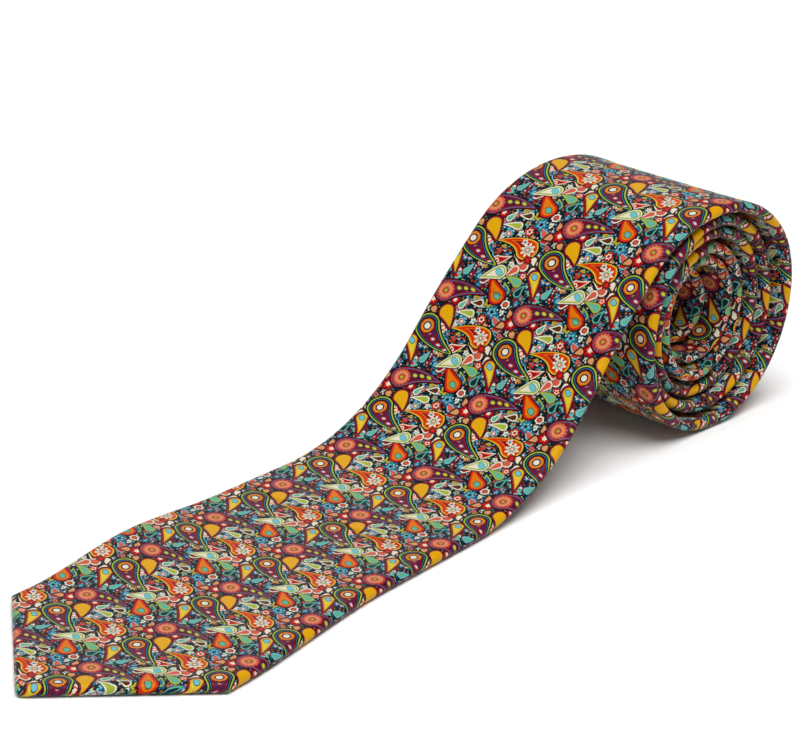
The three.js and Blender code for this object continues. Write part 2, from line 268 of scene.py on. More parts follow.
# %% Width of the tie and the sideways place of its centre line
TIP_LENGTH = BLADE_WIDTH / 2
NECK_START = 0.950
NECK_END = 1.060
TAIL_CORNER = TIE_LENGTH - TAIL_WIDTH / 2
BOW = 0.0065
ROLL_FACE = 0.0423
FACE_DEPTH = 0.012
FACE_FADE = 0.350
CORE_DEPTH = 0.010
MERGE_START = 0.270
MERGE_END = 0.400
BOW_START = 0.050
BOW_END = 0.140
SINK_START = TIE_LENGTH - 0.210
SINK_END = TIE_LENGTH - 0.060
EDGE_WANDER = 0.0009
WANDER_RATE = 1.3
APEX_ROUND = 0.003
APEX_ROOM = 0.00003
APEX = APEX_ROUND * (math.sqrt(2.0) - 1.0) + APEX_ROOM
APEX_TANGENT = APEX_ROUND / math.sqrt(2.0)


def half_width(s):
    """Half the width of the folded tie; both points are right angles with a softly rounded apex."""
    marks = [0.0, TIP_LENGTH, NECK_START, NECK_END, TAIL_CORNER, TIE_LENGTH]
    widths = [0.0, BLADE_WIDTH / 2, NECK_WIDTH / 2, NECK_WIDTH / 2, TAIL_WIDTH / 2, 0.0]
    straight = np.interp(s, marks, widths)
    from_end = np.minimum(s, TIE_LENGTH - np.asarray(s))
    rounded = np.sqrt(np.maximum(0.0, APEX_ROUND ** 2 - (from_end - APEX_ROUND * math.sqrt(2.0)) ** 2))
    return np.where(from_end < APEX_TANGENT, rounded, straight)


def centre_line(s):
    """Where the middle of the tie lies across the table: it bows on the flat and wanders in the roll."""
    s = np.asarray(s, float)
    angle, _ = angle_at_length(s)
    wander = EDGE_WANDER * np.sin(WANDER_RATE * angle) * smooth(angle, math.pi, FULL_TURN)
    depth = FACE_DEPTH * (1 - np.exp(-np.maximum(0.0, s - MERGE_END) / FACE_FADE))
    core_depth = CORE_DEPTH * smooth(s, SINK_START, SINK_END)
    full_width = np.maximum(half_width(np.minimum(s, TAIL_CORNER)), NECK_WIDTH / 2)
    in_roll = depth + core_depth + full_width + wander - ROLL_FACE
    on_flat = BOW * smooth(s, BOW_START, BOW_END)
    merge = smooth(s, MERGE_START, MERGE_END)
    return on_flat * (1 - merge) + in_roll * merge


# %% [markdown]
# ## Laying flat cloth along the line
# Every piece of cloth is first a flat drawing: X is the distance along the tie, Y the place across it and
# Z the height in the stack. A Geometry Nodes tree then reads the guide at that distance and sets each
# point on it. One rule lays the silk, the wool, the linings and the stitches alike, so all layers stay
# parallel however tightly the tie is wound.

# %% The guide as a curve
GUIDE_STEP = 0.0005
GUIDE_SPARE = 0.006


def make_guide():
    count = int((TIE_LENGTH + GUIDE_SPARE) / GUIDE_STEP) + 1
    curve = bpy.data.curves.new("tie_guide", "CURVE")
    curve.dimensions = "3D"
    spline = curve.splines.new("POLY")
    spline.points.add(count - 1)
    for i, point in enumerate(spline.points):
        x, z = guide_point(i * GUIDE_STEP)
        point.co = (ORIGIN_X + x, ORIGIN_Y, z, 1.0)
    holder = bpy.data.objects.new("tie_guide", curve)
    bpy.context.scene.collection.objects.link(holder)
    return holder


guide = make_guide()
print("guide points:", len(guide.data.splines[0].points))


# %% The tree that lays a flat drawing on the guide
def lay_tree():
    tree = bpy.data.node_groups.new("lay_along_guide", "GeometryNodeTree")
    face = tree.interface
    face.new_socket("Geometry", in_out="INPUT", socket_type="NodeSocketGeometry")
    face.new_socket("Guide", in_out="INPUT", socket_type="NodeSocketObject")
    face.new_socket("Material", in_out="INPUT", socket_type="NodeSocketMaterial")
    face.new_socket("Geometry", in_out="OUTPUT", socket_type="NodeSocketGeometry")
    nodes, links = tree.nodes, tree.links
    given = nodes.new("NodeGroupInput")
    result = nodes.new("NodeGroupOutput")
    guide_info = nodes.new("GeometryNodeObjectInfo")
    place = nodes.new("GeometryNodeInputPosition")
    split = nodes.new("ShaderNodeSeparateXYZ")
    sample = nodes.new("GeometryNodeSampleCurve")
    sample.mode = "LENGTH"
    sample.use_all_curves = True
    across = nodes.new("ShaderNodeCombineXYZ")
    across.inputs["Y"].default_value = 1.0
    cross = nodes.new("ShaderNodeVectorMath")
    cross.operation = "CROSS_PRODUCT"
    face_way = nodes.new("ShaderNodeVectorMath")
    face_way.operation = "NORMALIZE"
    rise = nodes.new("ShaderNodeVectorMath")
    rise.operation = "SCALE"
    sideways = nodes.new("ShaderNodeCombineXYZ")
    add_rise = nodes.new("ShaderNodeVectorMath")
    add_side = nodes.new("ShaderNodeVectorMath")
    move = nodes.new("GeometryNodeSetPosition")
    realize = nodes.new("GeometryNodeRealizeInstances")
    paint = nodes.new("GeometryNodeSetMaterial")
    links.new(given.outputs["Guide"], guide_info.inputs["Object"])
    links.new(place.outputs["Position"], split.inputs["Vector"])
    links.new(guide_info.outputs["Geometry"], sample.inputs["Curves"])
    links.new(split.outputs["X"], sample.inputs["Length"])
    links.new(sample.outputs["Tangent"], cross.inputs[0])
    links.new(across.outputs["Vector"], cross.inputs[1])
    links.new(cross.outputs["Vector"], face_way.inputs[0])
    links.new(face_way.outputs["Vector"], rise.inputs[0])
    links.new(split.outputs["Z"], rise.inputs["Scale"])
    links.new(split.outputs["Y"], sideways.inputs["Y"])
    links.new(sample.outputs["Position"], add_rise.inputs[0])
    links.new(rise.outputs["Vector"], add_rise.inputs[1])
    links.new(add_rise.outputs["Vector"], add_side.inputs[0])
    links.new(sideways.outputs["Vector"], add_side.inputs[1])
    links.new(given.outputs["Geometry"], move.inputs["Geometry"])
    links.new(add_side.outputs["Vector"], move.inputs["Position"])
    links.new(move.outputs["Geometry"], realize.inputs["Geometry"])
    links.new(realize.outputs["Geometry"], paint.inputs["Geometry"])
    links.new(given.outputs["Material"], paint.inputs["Material"])
    links.new(paint.outputs["Geometry"], result.inputs["Geometry"])
    return tree


LAY_TREE = lay_tree()


def socket_id(tree, name):
    for item in tree.interface.items_tree:
        if item.item_type == "SOCKET" and item.in_out == "INPUT" and item.name == name:
            return item.identifier
    raise KeyError(name)


def settle(holder):
    """Turns an object's evaluated shape into its plain mesh and removes its modifiers."""
    graph = bpy.context.evaluated_depsgraph_get()
    mesh = bpy.data.meshes.new_from_object(holder.evaluated_get(graph), depsgraph=graph)
    mesh.name = holder.name
    holder.modifiers.clear()
    holder.data = mesh
    return holder


def lay(holder, material, thickness=0.0):
    """Lays a flat drawing along the guide and gives the cloth its thickness."""
    modifier = holder.modifiers.new("lay", "NODES")
    modifier.node_group = LAY_TREE
    modifier[socket_id(LAY_TREE, "Guide")] = guide
    modifier[socket_id(LAY_TREE, "Material")] = material
    if thickness:
        wall = holder.modifiers.new("cloth", "SOLIDIFY")
        wall.thickness = thickness
        wall.offset = -1.0
        wall.use_even_offset = False
        wall.material_offset_rim = 1
        holder.data.materials.append(material)
        holder.data.materials.append(material)
    settle(holder)
    for polygon in holder.data.polygons:
        on_rim = thickness > 0 and polygon.material_index == 1
        polygon.use_smooth = not on_rim
        polygon.material_index = 0
    holder.data.materials.clear()
    holder.data.materials.append(material)
    return holder


# %% [markdown]
# ## The folded silk
# In section the silk starts at one flap edge on the back, runs out to the side, turns round a soft bead,
# crosses the front, turns round the other bead and comes back to the middle. Near each pointed end the
# flaps part in a V. At a point the same bead runs along the two slanting edges, so in this section it is
# wider by the square root of two.

# %% Section of the tube
BEAD = 0.0024
FRONT_DIP = 0.0004
SEAM_GAP = 0.00012
HEM = 0.014
VEE_END = 0.104
TAIL_VEE_START = TIE_LENGTH - 0.060
LARGEST_BEAD = 0.85     # of half the width, near an apex
LARGEST_GAP = 0.9       # of the level part of the back
FLAP_TUCK = 0.0004
CORNER_INNER = 0.002
CORNER_OUTER = 0.003
BEAD_STEPS = 7
FRONT_STEPS = 16
BACK_STEPS = 8


def flap_gap(s):
    """Half the distance between the two flaps on the back."""
    at_tip = float(half_width(TIP_LENGTH)) - HEM
    at_tail = float(half_width(TAIL_CORNER)) - HEM
    if s < TIP_LENGTH or s > TAIL_CORNER:
        return max(SEAM_GAP, float(half_width(s)) - HEM)
    marks = [TIP_LENGTH, VEE_END, TAIL_VEE_START, TAIL_CORNER]
    return float(np.interp(s, marks, [at_tip, SEAM_GAP, SEAM_GAP, at_tail]))


def bead_width(s):
    """The bead is wider where the edge slants."""
    slant = 1.0 - smooth(s, TIP_LENGTH - CORNER_INNER, TIP_LENGTH + CORNER_OUTER)
    slant += smooth(s, TAIL_CORNER - CORNER_OUTER, TAIL_CORNER + CORNER_INNER)
    return BEAD * (1.0 + (math.sqrt(2.0) - 1.0) * float(slant))


def tube_section(s):
    """Points (w, h) from the right flap's edge round to the left flap's edge."""
    half = float(half_width(s))
    full_bead = bead_width(s)
    bead = min(full_bead, LARGEST_BEAD * half)
    tall = STACK / 2 * math.sqrt(min(1.0, half / full_bead))
    level = half - bead
    gap = min(flap_gap(s), LARGEST_GAP * level)
    back = [(level + (gap - level) * t, -tall) for t in np.linspace(1, 0, BACK_STEPS, endpoint=False)]
    if gap < 4 * SEAM_GAP:
        back[0] = (gap, FLAP_TUCK - tall)
    turn = [(level + bead * math.cos(a), tall * math.sin(a))
            for a in np.linspace(-math.pi / 2, math.pi / 2, 2 * BEAD_STEPS + 1)]
    front = []
    for t in np.linspace(1, -1, FRONT_STEPS + 1)[1:-1]:
        dip = FRONT_DIP * min(1.0, tall / STACK * 2) * (1 - abs(t) ** 3)
        front.append((level * t, tall - dip))
    right = back + turn
    left = [(-w, h) for w, h in reversed(right)]
    return np.array(right + front + left)


def cloth_width(s):
    """How wide the silk is cut at s: the length of its section."""
    section = tube_section(s)
    return float(np.sum(np.hypot(*np.diff(section, axis=0).T)))


print("silk cut width at the corners (m):", round(cloth_width(TIP_LENGTH), 4))

# %% Stations along the tie
TURN_STATION = math.radians(5)
STATION = 0.002
STATION_ROOM = 0.0008
APEX_STATIONS = (0.00006, 0.0002, 0.0005)


def stations(start, stop):
    """Distances from start to stop, close together where the line bends tightly."""
    marks = list(np.arange(start, min(stop, ROLL_START), STATION))
    angle = LEAVE_ANGLE
    while length_at_angle(angle) < stop and angle < LEAVE_ANGLE + WOUND_ANGLE:
        if length_at_angle(angle) > start:
            marks.append(length_at_angle(angle))
        angle += TURN_STATION
    for corner in (TIP_LENGTH, TAIL_CORNER):
        if start < corner < stop:
            marks.append(corner)
    if stop > TAIL_CORNER:
        marks.extend(np.arange(TAIL_CORNER, stop, STATION))
    marks = {round(float(m), 6) for m in marks if start + STATION_ROOM < m < stop - STATION_ROOM}
    marks = sorted(marks)
    near_apex = [APEX + step for step in APEX_STATIONS]
    if start == APEX:
        marks = near_apex + marks
    if stop == TIE_LENGTH - APEX:
        marks = marks + [TIE_LENGTH - m for m in reversed(near_apex)]
    return [start, *marks, stop]


# %% Gentle unevenness of real cloth
EDGE_LIFT = 0.0032
LIFT_START = 0.050
LIFT_TOP = 0.100
LIFT_END = 0.150
LIFT_EDGE = 0.047
WAVER = 0.00018
WAVES_ALONG = 71.0      # these four are in radians per metre
DRIFT_ALONG = 23.0
WAVES_ACROSS = 60.0
DRIFT_ACROSS = 41.0


def lift(s, w):
    """One edge of the blade stands a little off the table, behind the tip."""
    along = smooth(s, LIFT_START, LIFT_TOP) * (1 - smooth(s, LIFT_TOP, LIFT_END))
    return EDGE_LIFT * along * smooth(w, 0.0, LIFT_EDGE)


def waver(s, w):
    """Slow hollows of a few tenths of a millimetre."""
    along = np.sin(s * WAVES_ALONG + 2.0 * np.sin(s * DRIFT_ALONG))
    across = np.cos(w * WAVES_ACROSS + 0.7 * np.sin(s * DRIFT_ACROSS))
    return WAVER * along * across


# %% Flat drawings
def grid_drawing(name, rows, coords):
    """Four-sided faces through rows of points, with the cloth's own coordinates, in metres."""
    columns = len(rows[0])
    faces = []
    for i in range(len(rows) - 1):
        for j in range(columns - 1):
            a = i * columns + j
            faces.append((a, a + 1, a + columns + 1, a + columns))
    mesh = bpy.data.meshes.new(name)
    mesh.from_pydata(np.concatenate(rows).tolist(), [], faces)
    uv = mesh.uv_layers.new(name="cloth")
    corner = np.zeros(len(mesh.loops), int)
    mesh.loops.foreach_get("vertex_index", corner)
    uv.data.foreach_set("uv", np.concatenate(coords)[corner].astype(np.float32).ravel())
    holder = bpy.data.objects.new(name, mesh)
    bpy.context.scene.collection.objects.link(holder)
    return holder


SEAM_SLANT = 0.060
SEAM_SINK = 0.00015
SEAM_DIP = 0.003


def tube_drawing(name, start, stop, slant_start=False, slant_stop=False, cut=(0.0, 0.0)):
    """A flat drawing of a piece from start to stop. A slanted end runs diagonally across the tie, and
    cut says from where on the printed silk the piece was cut."""
    points = []
    coords = []
    for s in stations(start, stop):
        section = tube_section(s)
        slant = 0.0
        if slant_start:
            slant = max(slant, 1 - float(smooth(s, start, start + SEAM_SLANT)))
        if slant_stop:
            slant = max(slant, float(smooth(s, stop - SEAM_SLANT, stop)))
        along = s + slant * section[:, 0]
        sink = 0.0
        if slant_start:
            sink = SEAM_SINK * (1 - float(smooth(s, start, start + SEAM_DIP)))
        if slant_stop:
            sink = max(sink, SEAM_SINK * float(smooth(s, stop - SEAM_DIP, stop)))
        tall = section[:, 1] * (1 - sink / (STACK / 2))
        across = section[:, 0] + centre_line(along)
        height = tall + lift(along, section[:, 0]) + waver(along, section[:, 0]) * (tall > 0)
        points.append(np.stack([along, across, height], 1))
        steps = np.hypot(*np.diff(section, axis=0).T)
        round_way = np.concatenate([[0.0], np.cumsum(steps)])
        middle = round_way[len(round_way) // 2]
        narrowing = TIP_LENGTH - np.maximum(half_width(np.clip(s, TIP_LENGTH, TAIL_CORNER)), 0.0)
        coords.append(np.stack([middle - round_way - narrowing + cut[0], along + cut[1]], 1))
    return grid_drawing(name, points, coords)


# %% [markdown]
# ## The printed silk
# The print is a traditional all-over paisley: leaf-shaped drops with bent tails, nested outlines, rings,
# rosettes and small filling flowers on a near-black ground. It is drawn with shader nodes, in
# millimetres on the flat cloth, so it follows every fold. One cell of the design repeats across and along
# the cloth. A drop is a distance from a bent line whose radius shrinks towards the tail, and a
# colour ramp turns depth inside it into outlines.

# %% Inks
def ink(red, green, blue):
    """A colour named by its screen values, 0 to 255, as the renderer's linear values."""
    return tuple((v / 255) ** 2.2 for v in (red, green, blue)) + (1.0,)


NAVY = ink(4, 10, 22)
DEEP_TEAL = ink(10, 48, 60)
RED = ink(222, 62, 40)
DARK_RED = ink(158, 26, 42)
ORANGE = ink(236, 132, 50)
GOLD = ink(240, 178, 48)
YELLOW = ink(236, 212, 92)
LIME = ink(172, 190, 82)
CREAM = ink(246, 238, 214)
SKY = ink(128, 200, 214)
BLUE = ink(58, 122, 158)
MINT = ink(112, 186, 160)
PLUM = ink(92, 40, 72)
PEACH = ink(230, 164, 120)
SALMON = ink(224, 112, 96)
BROWN = ink(92, 54, 34)
CLEAR = (0.0, 0.0, 0.0, 0.0)
CELL_ACROSS = 35.3
CELL_ALONG = 36.7


# %% A small pen for shader nodes
class Pen:
    """Each method adds one node and returns its output. Values may be numbers or other outputs."""

    def __init__(self, tree):
        self.tree = tree

    def add(self, kind, inputs, output=0, **settings):
        node = self.tree.nodes.new(kind)
        for key, value in settings.items():
            setattr(node, key, value)
        for key, value in inputs.items():
            if isinstance(value, bpy.types.NodeSocket):
                self.tree.links.new(value, node.inputs[key])
            else:
                node.inputs[key].default_value = value
        return node.outputs[output]

    def math(self, operation, a, b=0.0, c=0.0):
        return self.add("ShaderNodeMath", {0: a, 1: b, 2: c}, operation=operation)

    def vector(self, operation, a, b=(0, 0, 0), c=(0, 0, 0)):
        return self.add("ShaderNodeVectorMath", {0: a, 1: b, 2: c}, operation=operation)

    def split(self, vector):
        node = self.add("ShaderNodeSeparateXYZ", {0: vector}).node
        return node.outputs[0], node.outputs[1]

    def mix(self, factor, under, over):
        node = self.tree.nodes.new("ShaderNodeMix")
        node.data_type = "RGBA"
        for key, value in (("Factor_Float", factor), ("A_Color", under), ("B_Color", over)):
            socket = next(s for s in node.inputs if s.identifier == key)
            if isinstance(value, bpy.types.NodeSocket):
                self.tree.links.new(value, socket)
            else:
                socket.default_value = value
        return next(s for s in node.outputs if s.identifier == "Result_Color")

    def ramp(self, factor, stops, interpolation="CONSTANT"):
        node = self.add("ShaderNodeValToRGB", {0: factor}).node
        node.color_ramp.interpolation = interpolation
        points = node.color_ramp.elements
        while len(points) < len(stops):
            points.new(0.5)
        for point, (position, colour) in zip(points, stops):
            point.position = position
            point.color = colour
        return node.outputs[0], node.outputs[1]

    def layer(self, under, depth, bands):
        """Paints bands of colour over what is under them, from the outline (0) inwards (1)."""
        colour, cover = self.ramp(depth, [(0.0, CLEAR), *[(max(0.003, at), tint) for at, tint in bands]])
        return self.mix(cover, under, colour)

    def group(self, tree, **inputs):
        node = self.tree.nodes.new("ShaderNodeGroup")
        node.node_tree = tree
        for key, value in inputs.items():
            socket = node.inputs[key]
            if isinstance(value, bpy.types.NodeSocket):
                self.tree.links.new(value, socket)
            else:
                socket.default_value = value
        return node.outputs


def new_group(name, inputs, outputs):
    tree = bpy.data.node_groups.new(name, "ShaderNodeTree")
    for key in inputs:
        tree.interface.new_socket(key, in_out="INPUT", socket_type="NodeSocketFloat")
    for key in outputs:
        tree.interface.new_socket(key, in_out="OUTPUT", socket_type="NodeSocketFloat")
    given = tree.nodes.new("NodeGroupInput")
    result = tree.nodes.new("NodeGroupOutput")
    return tree, given.outputs, result.inputs


# %% The drop and the rosette
# Both work on plain numbers instead of vectors. A renderer that meets a change of type between two nodes
# has to hold its place, and with sixty motifs waiting at once its memory for one material runs out.
def wrapped_pair(pen, given):
    """Distance from a motif's centre, measured to the nearest repeat of the design."""
    half_across, half_along = CELL_ACROSS / 2, CELL_ALONG / 2
    across = pen.math("WRAP", pen.math("SUBTRACT", given["X"], given["Across"]), half_across, -half_across)
    along = pen.math("WRAP", pen.math("SUBTRACT", given["Y"], given["Along"]), half_along, -half_along)
    return across, along


def distance_from(pen, x, y):
    return pen.math("SQRT", pen.math("MULTIPLY_ADD", x, x, pen.math("MULTIPLY", y, y)))


def make_drop():
    """Depth inside a bent teardrop: 1 at the middle of its head, 0 at its outline, below 0 outside."""
    names = ["X", "Y", "Across", "Along", "Cos", "Sin", "Length", "Radius", "Curl", "Taper"]
    tree, given, result = new_group("drop", names, ["Depth", "Run", "Side"])
    pen = Pen(tree)
    across, along = wrapped_pair(pen, given)
    run = pen.math("MULTIPLY_ADD", across, given["Cos"], pen.math("MULTIPLY", along, given["Sin"]))
    back = pen.math("MULTIPLY", across, given["Sin"])
    rise = pen.math("SUBTRACT", pen.math("MULTIPLY", along, given["Cos"]), back)
    t = pen.math("MINIMUM", pen.math("MAXIMUM", pen.math("DIVIDE", run, given["Length"]), 0.0), 1.0)
    bent = pen.math("MULTIPLY", given["Curl"], pen.math("MULTIPLY", t, t))
    side = pen.math("SUBTRACT", rise, bent)
    past = pen.math("SUBTRACT", run, pen.math("MULTIPLY", t, given["Length"]))
    gap = distance_from(pen, past, side)
    thin = pen.math("POWER", pen.math("SUBTRACT", 1.0, t), given["Taper"])
    depth = pen.math("SUBTRACT", thin, pen.math("DIVIDE", gap, given["Radius"]))
    tree.links.new(depth, result["Depth"])
    tree.links.new(run, result["Run"])
    tree.links.new(side, result["Side"])
    return tree


def make_rosette():
    """Depth inside a flower with notched petals: 1 at the middle, 0 at the outline."""
    names = ["X", "Y", "Across", "Along", "Radius", "Petals", "Notch", "Turn"]
    tree, given, result = new_group("rosette", names, ["Depth"])
    pen = Pen(tree)
    across, along = wrapped_pair(pen, given)
    spin = pen.math("ADD", pen.math("ARCTAN2", along, across), given["Turn"])
    wave = pen.math("COSINE", pen.math("MULTIPLY", spin, given["Petals"]))
    reach = pen.math("MULTIPLY", pen.math("MULTIPLY_ADD", wave, given["Notch"], 1.0), given["Radius"])
    scaled = pen.math("DIVIDE", distance_from(pen, across, along), reach)
    tree.links.new(pen.math("SUBTRACT", 1.0, scaled), result["Depth"])
    return tree


DROP = make_drop()
ROSETTE = make_rosette()


def drop(pen, point, across, along, turn, length, radius, curl=0.0, taper=0.8):
    angle = math.radians(turn)
    return pen.group(DROP, X=point[0], Y=point[1], Across=across, Along=along, Cos=math.cos(angle),
                     Sin=math.sin(angle), Length=length, Radius=radius, Curl=curl, Taper=taper)


def rosette(pen, point, across, along, radius, petals=6, notch=0.15, turn=0.0):
    return pen.group(ROSETTE, X=point[0], Y=point[1], Across=across, Along=along, Radius=radius,
                     Petals=float(petals), Notch=notch, Turn=turn)[0]


def seed_row(pen, run, side, spacing, radius, start, stop):
    """Depth inside a row of round dots along the middle of a drop."""
    gap = distance_from(pen, pen.math("WRAP", run, spacing / 2, -spacing / 2), side)
    depth = pen.math("SUBTRACT", 1.0, pen.math("DIVIDE", gap, radius))
    inside = pen.math("MULTIPLY", pen.math("GREATER_THAN", run, start), pen.math("LESS_THAN", run, stop))
    return pen.math("MULTIPLY", depth, inside)


# %% Filling flowers and dots
def filling(pen, point):
    """The ground with two sizes of small flowers and dots scattered over it."""
    cell = (CELL_ACROSS, CELL_ALONG, 1.0)
    wrapped = pen.vector("WRAP", point, cell, (0.0, 0.0, -1.0))
    drift = pen.add("ShaderNodeTexNoise", {"Vector": wrapped, "Scale": 0.16, "Detail": 1.0})
    paint = pen.mix(pen.math("MULTIPLY", drift, 0.9), NAVY, DEEP_TEAL)
    for spacing, size, inks in (
            (3.1, 0.37, [BLUE, RED, SKY, PEACH, BLUE, DARK_RED, LIME, CREAM, DEEP_TEAL, SALMON, MINT, BLUE]),
            (1.35, 0.25, [SKY, CREAM, BLUE, RED, SKY, DEEP_TEAL, ORANGE, SKY, NAVY, NAVY])):
        dots = pen.add("ShaderNodeTexVoronoi", {"Vector": wrapped, "Scale": 1 / spacing, "Randomness": 0.85},
                       voronoi_dimensions="2D").node
        pick, _ = pen.split(dots.outputs["Color"])
        away = pen.vector("SUBTRACT", wrapped, dots.outputs["Position"])
        x, y = pen.split(away)
        spin = pen.math("MULTIPLY_ADD", pick, 6.0, pen.math("ARCTAN2", y, x))
        petals = pen.math("MULTIPLY_ADD", pen.math("COSINE", pen.math("MULTIPLY", spin, 5.0)), 0.22, 1.0)
        reach = pen.math("MULTIPLY", petals, size)
        depth = pen.math("SUBTRACT", 1.0, pen.math("DIVIDE", dots.outputs["Distance"], reach))
        tint, _ = pen.ramp(pick, [(i / len(inks), colour) for i, colour in enumerate(inks)])
        _, cover = pen.ramp(depth, [(0.0, CLEAR), (0.04, CREAM)])
        paint = pen.mix(cover, paint, tint)
        _, heart = pen.ramp(depth, [(0.0, CLEAR), (0.66, CREAM)])
        tint, _ = pen.ramp(pick, [(i / len(inks), colour) for i, colour in enumerate(inks[3:] + inks[:3])])
        paint = pen.mix(heart, paint, tint)
    return paint


# %% Leaves and petals under the large drops
def leaves(pen, point, paint):
    """Small two-ink leaves: where, direction, length, radius, curl, outline ink and inner ink."""
    plan = [
        (-9.9, -4.6, 200, 6.5, 2.2, 0.8, CREAM, SALMON),
        (-12.6, -6.6, 235, 6.0, 2.1, 0.8, CREAM, SALMON),
        (-12.2, -2.6, 165, 4.6, 1.8, -0.6, CREAM, RED),
        (-9.0, 9.2, 140, 5.0, 1.8, 1.0, SKY, SALMON),
        (-7.2, 6.8, 190, 4.4, 1.6, 0.6, SKY, RED),
        (-7.4, -1.2, -60, 3.6, 2.1, 0.0, BROWN, CREAM),
        (-5.6, -5.0, -120, 3.6, 2.0, 0.0, BROWN, CREAM),
        (-4.6, -1.8, 20, 3.0, 1.7, 0.0, BROWN, CREAM),
        (-4.9, 13.4, 120, 3.2, 2.1, 0.0, BROWN, PEACH),
        (-6.4, 8.8, 215, 3.4, 2.1, 0.0, BROWN, PEACH),
        (-0.6, 6.8, -60, 3.2, 2.0, 0.0, BROWN, PEACH),
        (7.6, -2.2, -70, 4.2, 1.3, 0.8, SKY, BLUE),
        (5.6, -2.4, -110, 4.0, 1.2, -0.6, PEACH, BROWN),
        (9.6, -3.4, -40, 4.6, 1.4, 1.0, SKY, DEEP_TEAL),
        (14.6, 9.4, 182, 7.0, 1.9, 1.2, CREAM, LIME),
        (16.2, 14.2, 200, 4.4, 1.9, -0.8, CREAM, BROWN),
        (9.4, 11.2, 60, 4.4, 1.6, 0.8, CREAM, MINT),
        (-8.9, -11.0, 160, 6.4, 2.2, 1.2, LIME, MINT),
        (-6.6, -14.8, 80, 4.4, 1.9, -0.8, MINT, DEEP_TEAL),
        (-11.6, -15.2, 120, 4.2, 1.8, 0.6, LIME, BLUE),
        (12.8, -13.6, 30, 4.6, 2.0, 0.8, CREAM, DARK_RED),
        (4.4, -12.6, 60, 4.6, 1.6, 0.9, SKY, MINT),
    ]
    for across, along, turn, length, radius, curl, outline, inner in plan:
        depth = drop(pen, point, across, along, turn, length, radius, curl)[0]
        paint = pen.layer(paint, depth, [(0.0, NAVY), (0.12, outline), (0.40, inner)])
    return paint


def flowers(pen, point, paint):
    """Small flowers: where, radius, petals, notch, petal ink, ring ink and heart ink."""
    plan = [
        (-2.9, 10.4, 2.9, 6, 0.16, DARK_RED, RED, CREAM),
        (6.6, 1.2, 2.1, 5, 0.16, CREAM, RED, CREAM),
        (5.9, 12.6, 2.3, 6, 0.14, DARK_RED, RED, CREAM),
        (-12.6, 12.4, 2.5, 5, 0.30, BLUE, SKY, NAVY),
        (10.8, -13.0, 1.9, 7, 0.10, BLUE, SKY, SKY),
        (-8.9, 16.6, 2.0, 7, 0.10, CREAM, DARK_RED, SALMON),
        (-15.2, 8.6, 1.9, 6, 0.20, RED, CREAM, DARK_RED),
        (12.6, 5.6, 1.7, 5, 0.20, SKY, RED, CREAM),
        (1.6, -15.4, 2.1, 6, 0.24, MINT, SKY, RED),
        (-15.6, 15.2, 1.9, 5, 0.22, LIME, ORANGE, NAVY),
        (-8.0, -8.0, 1.5, 5, 0.20, RED, CREAM, RED),
        (9.4, 16.4, 1.9, 6, 0.24, SKY, BLUE, CREAM),
    ]
    for across, along, radius, petals, notch, outer, ring, heart in plan:
        depth = rosette(pen, point, across, along, radius, petals, notch)
        paint = pen.layer(paint, depth, [(0.0, NAVY), (0.12, outer), (0.44, ring), (0.68, heart)])
    return paint


# %% The large drops
def lime_drop(pen, point, paint):
    """The largest leaf: lime double outline, plum body, an orange ring and a row of dots down the tail."""
    depth, run, side = drop(pen, point, 0.0, 0.0, -54, 14.4, 5.6, 7.6, 0.5)
    paint = pen.layer(paint, depth, [(0.0, NAVY), (0.11, LIME), (0.21, NAVY), (0.29, BLUE), (0.35, NAVY),
                                     (0.42, DARK_RED), (0.50, PLUM)])
    seeds = seed_row(pen, run, side, 3.0, 0.95, 3.4, 12.2)
    paint = pen.layer(paint, seeds, [(0.0, RED), (0.35, SKY), (0.62, CREAM)])
    ring = rosette(pen, point, 0.0, 0.0, 3.1, 8, 0.02)
    return pen.layer(paint, ring, [(0.0, NAVY), (0.12, ORANGE), (0.36, PEACH), (0.44, NAVY), (0.62, CREAM)])


def gold_drop(pen, point, paint):
    depth = drop(pen, point, 5.0, 7.2, -38, 7.6, 3.9, -2.4, 0.7)[0]
    return pen.layer(paint, depth, [(0.0, NAVY), (0.12, DARK_RED), (0.20, PLUM), (0.28, GOLD)])


def flame_hook(pen, point, paint):
    """An orange-red leaf with a hooked tail and a cluster of pale flowers in its head."""
    depth = drop(pen, point, -12.4, 2.2, 140, 10.6, 5.0, 9.6, 0.66)[0]
    paint = pen.layer(paint, depth, [(0.0, NAVY), (0.12, YELLOW), (0.19, ORANGE), (0.28, RED), (0.50, ORANGE),
                                     (0.56, DARK_RED)])
    bloom = rosette(pen, point, -12.0, 1.9, 2.3, 8, 0.30)
    paint = pen.layer(paint, bloom, [(0.0, CREAM), (0.40, MINT), (0.62, RED), (0.78, CREAM)])
    bud = rosette(pen, point, -14.6, 4.4, 1.1, 5, 0.25)
    paint = pen.layer(paint, bud, [(0.0, CREAM), (0.50, BLUE)])
    seed = rosette(pen, point, -9.8, -1.8, 1.7, 6, 0.14)
    return pen.layer(paint, seed, [(0.0, BROWN), (0.20, DARK_RED), (0.60, RED)])


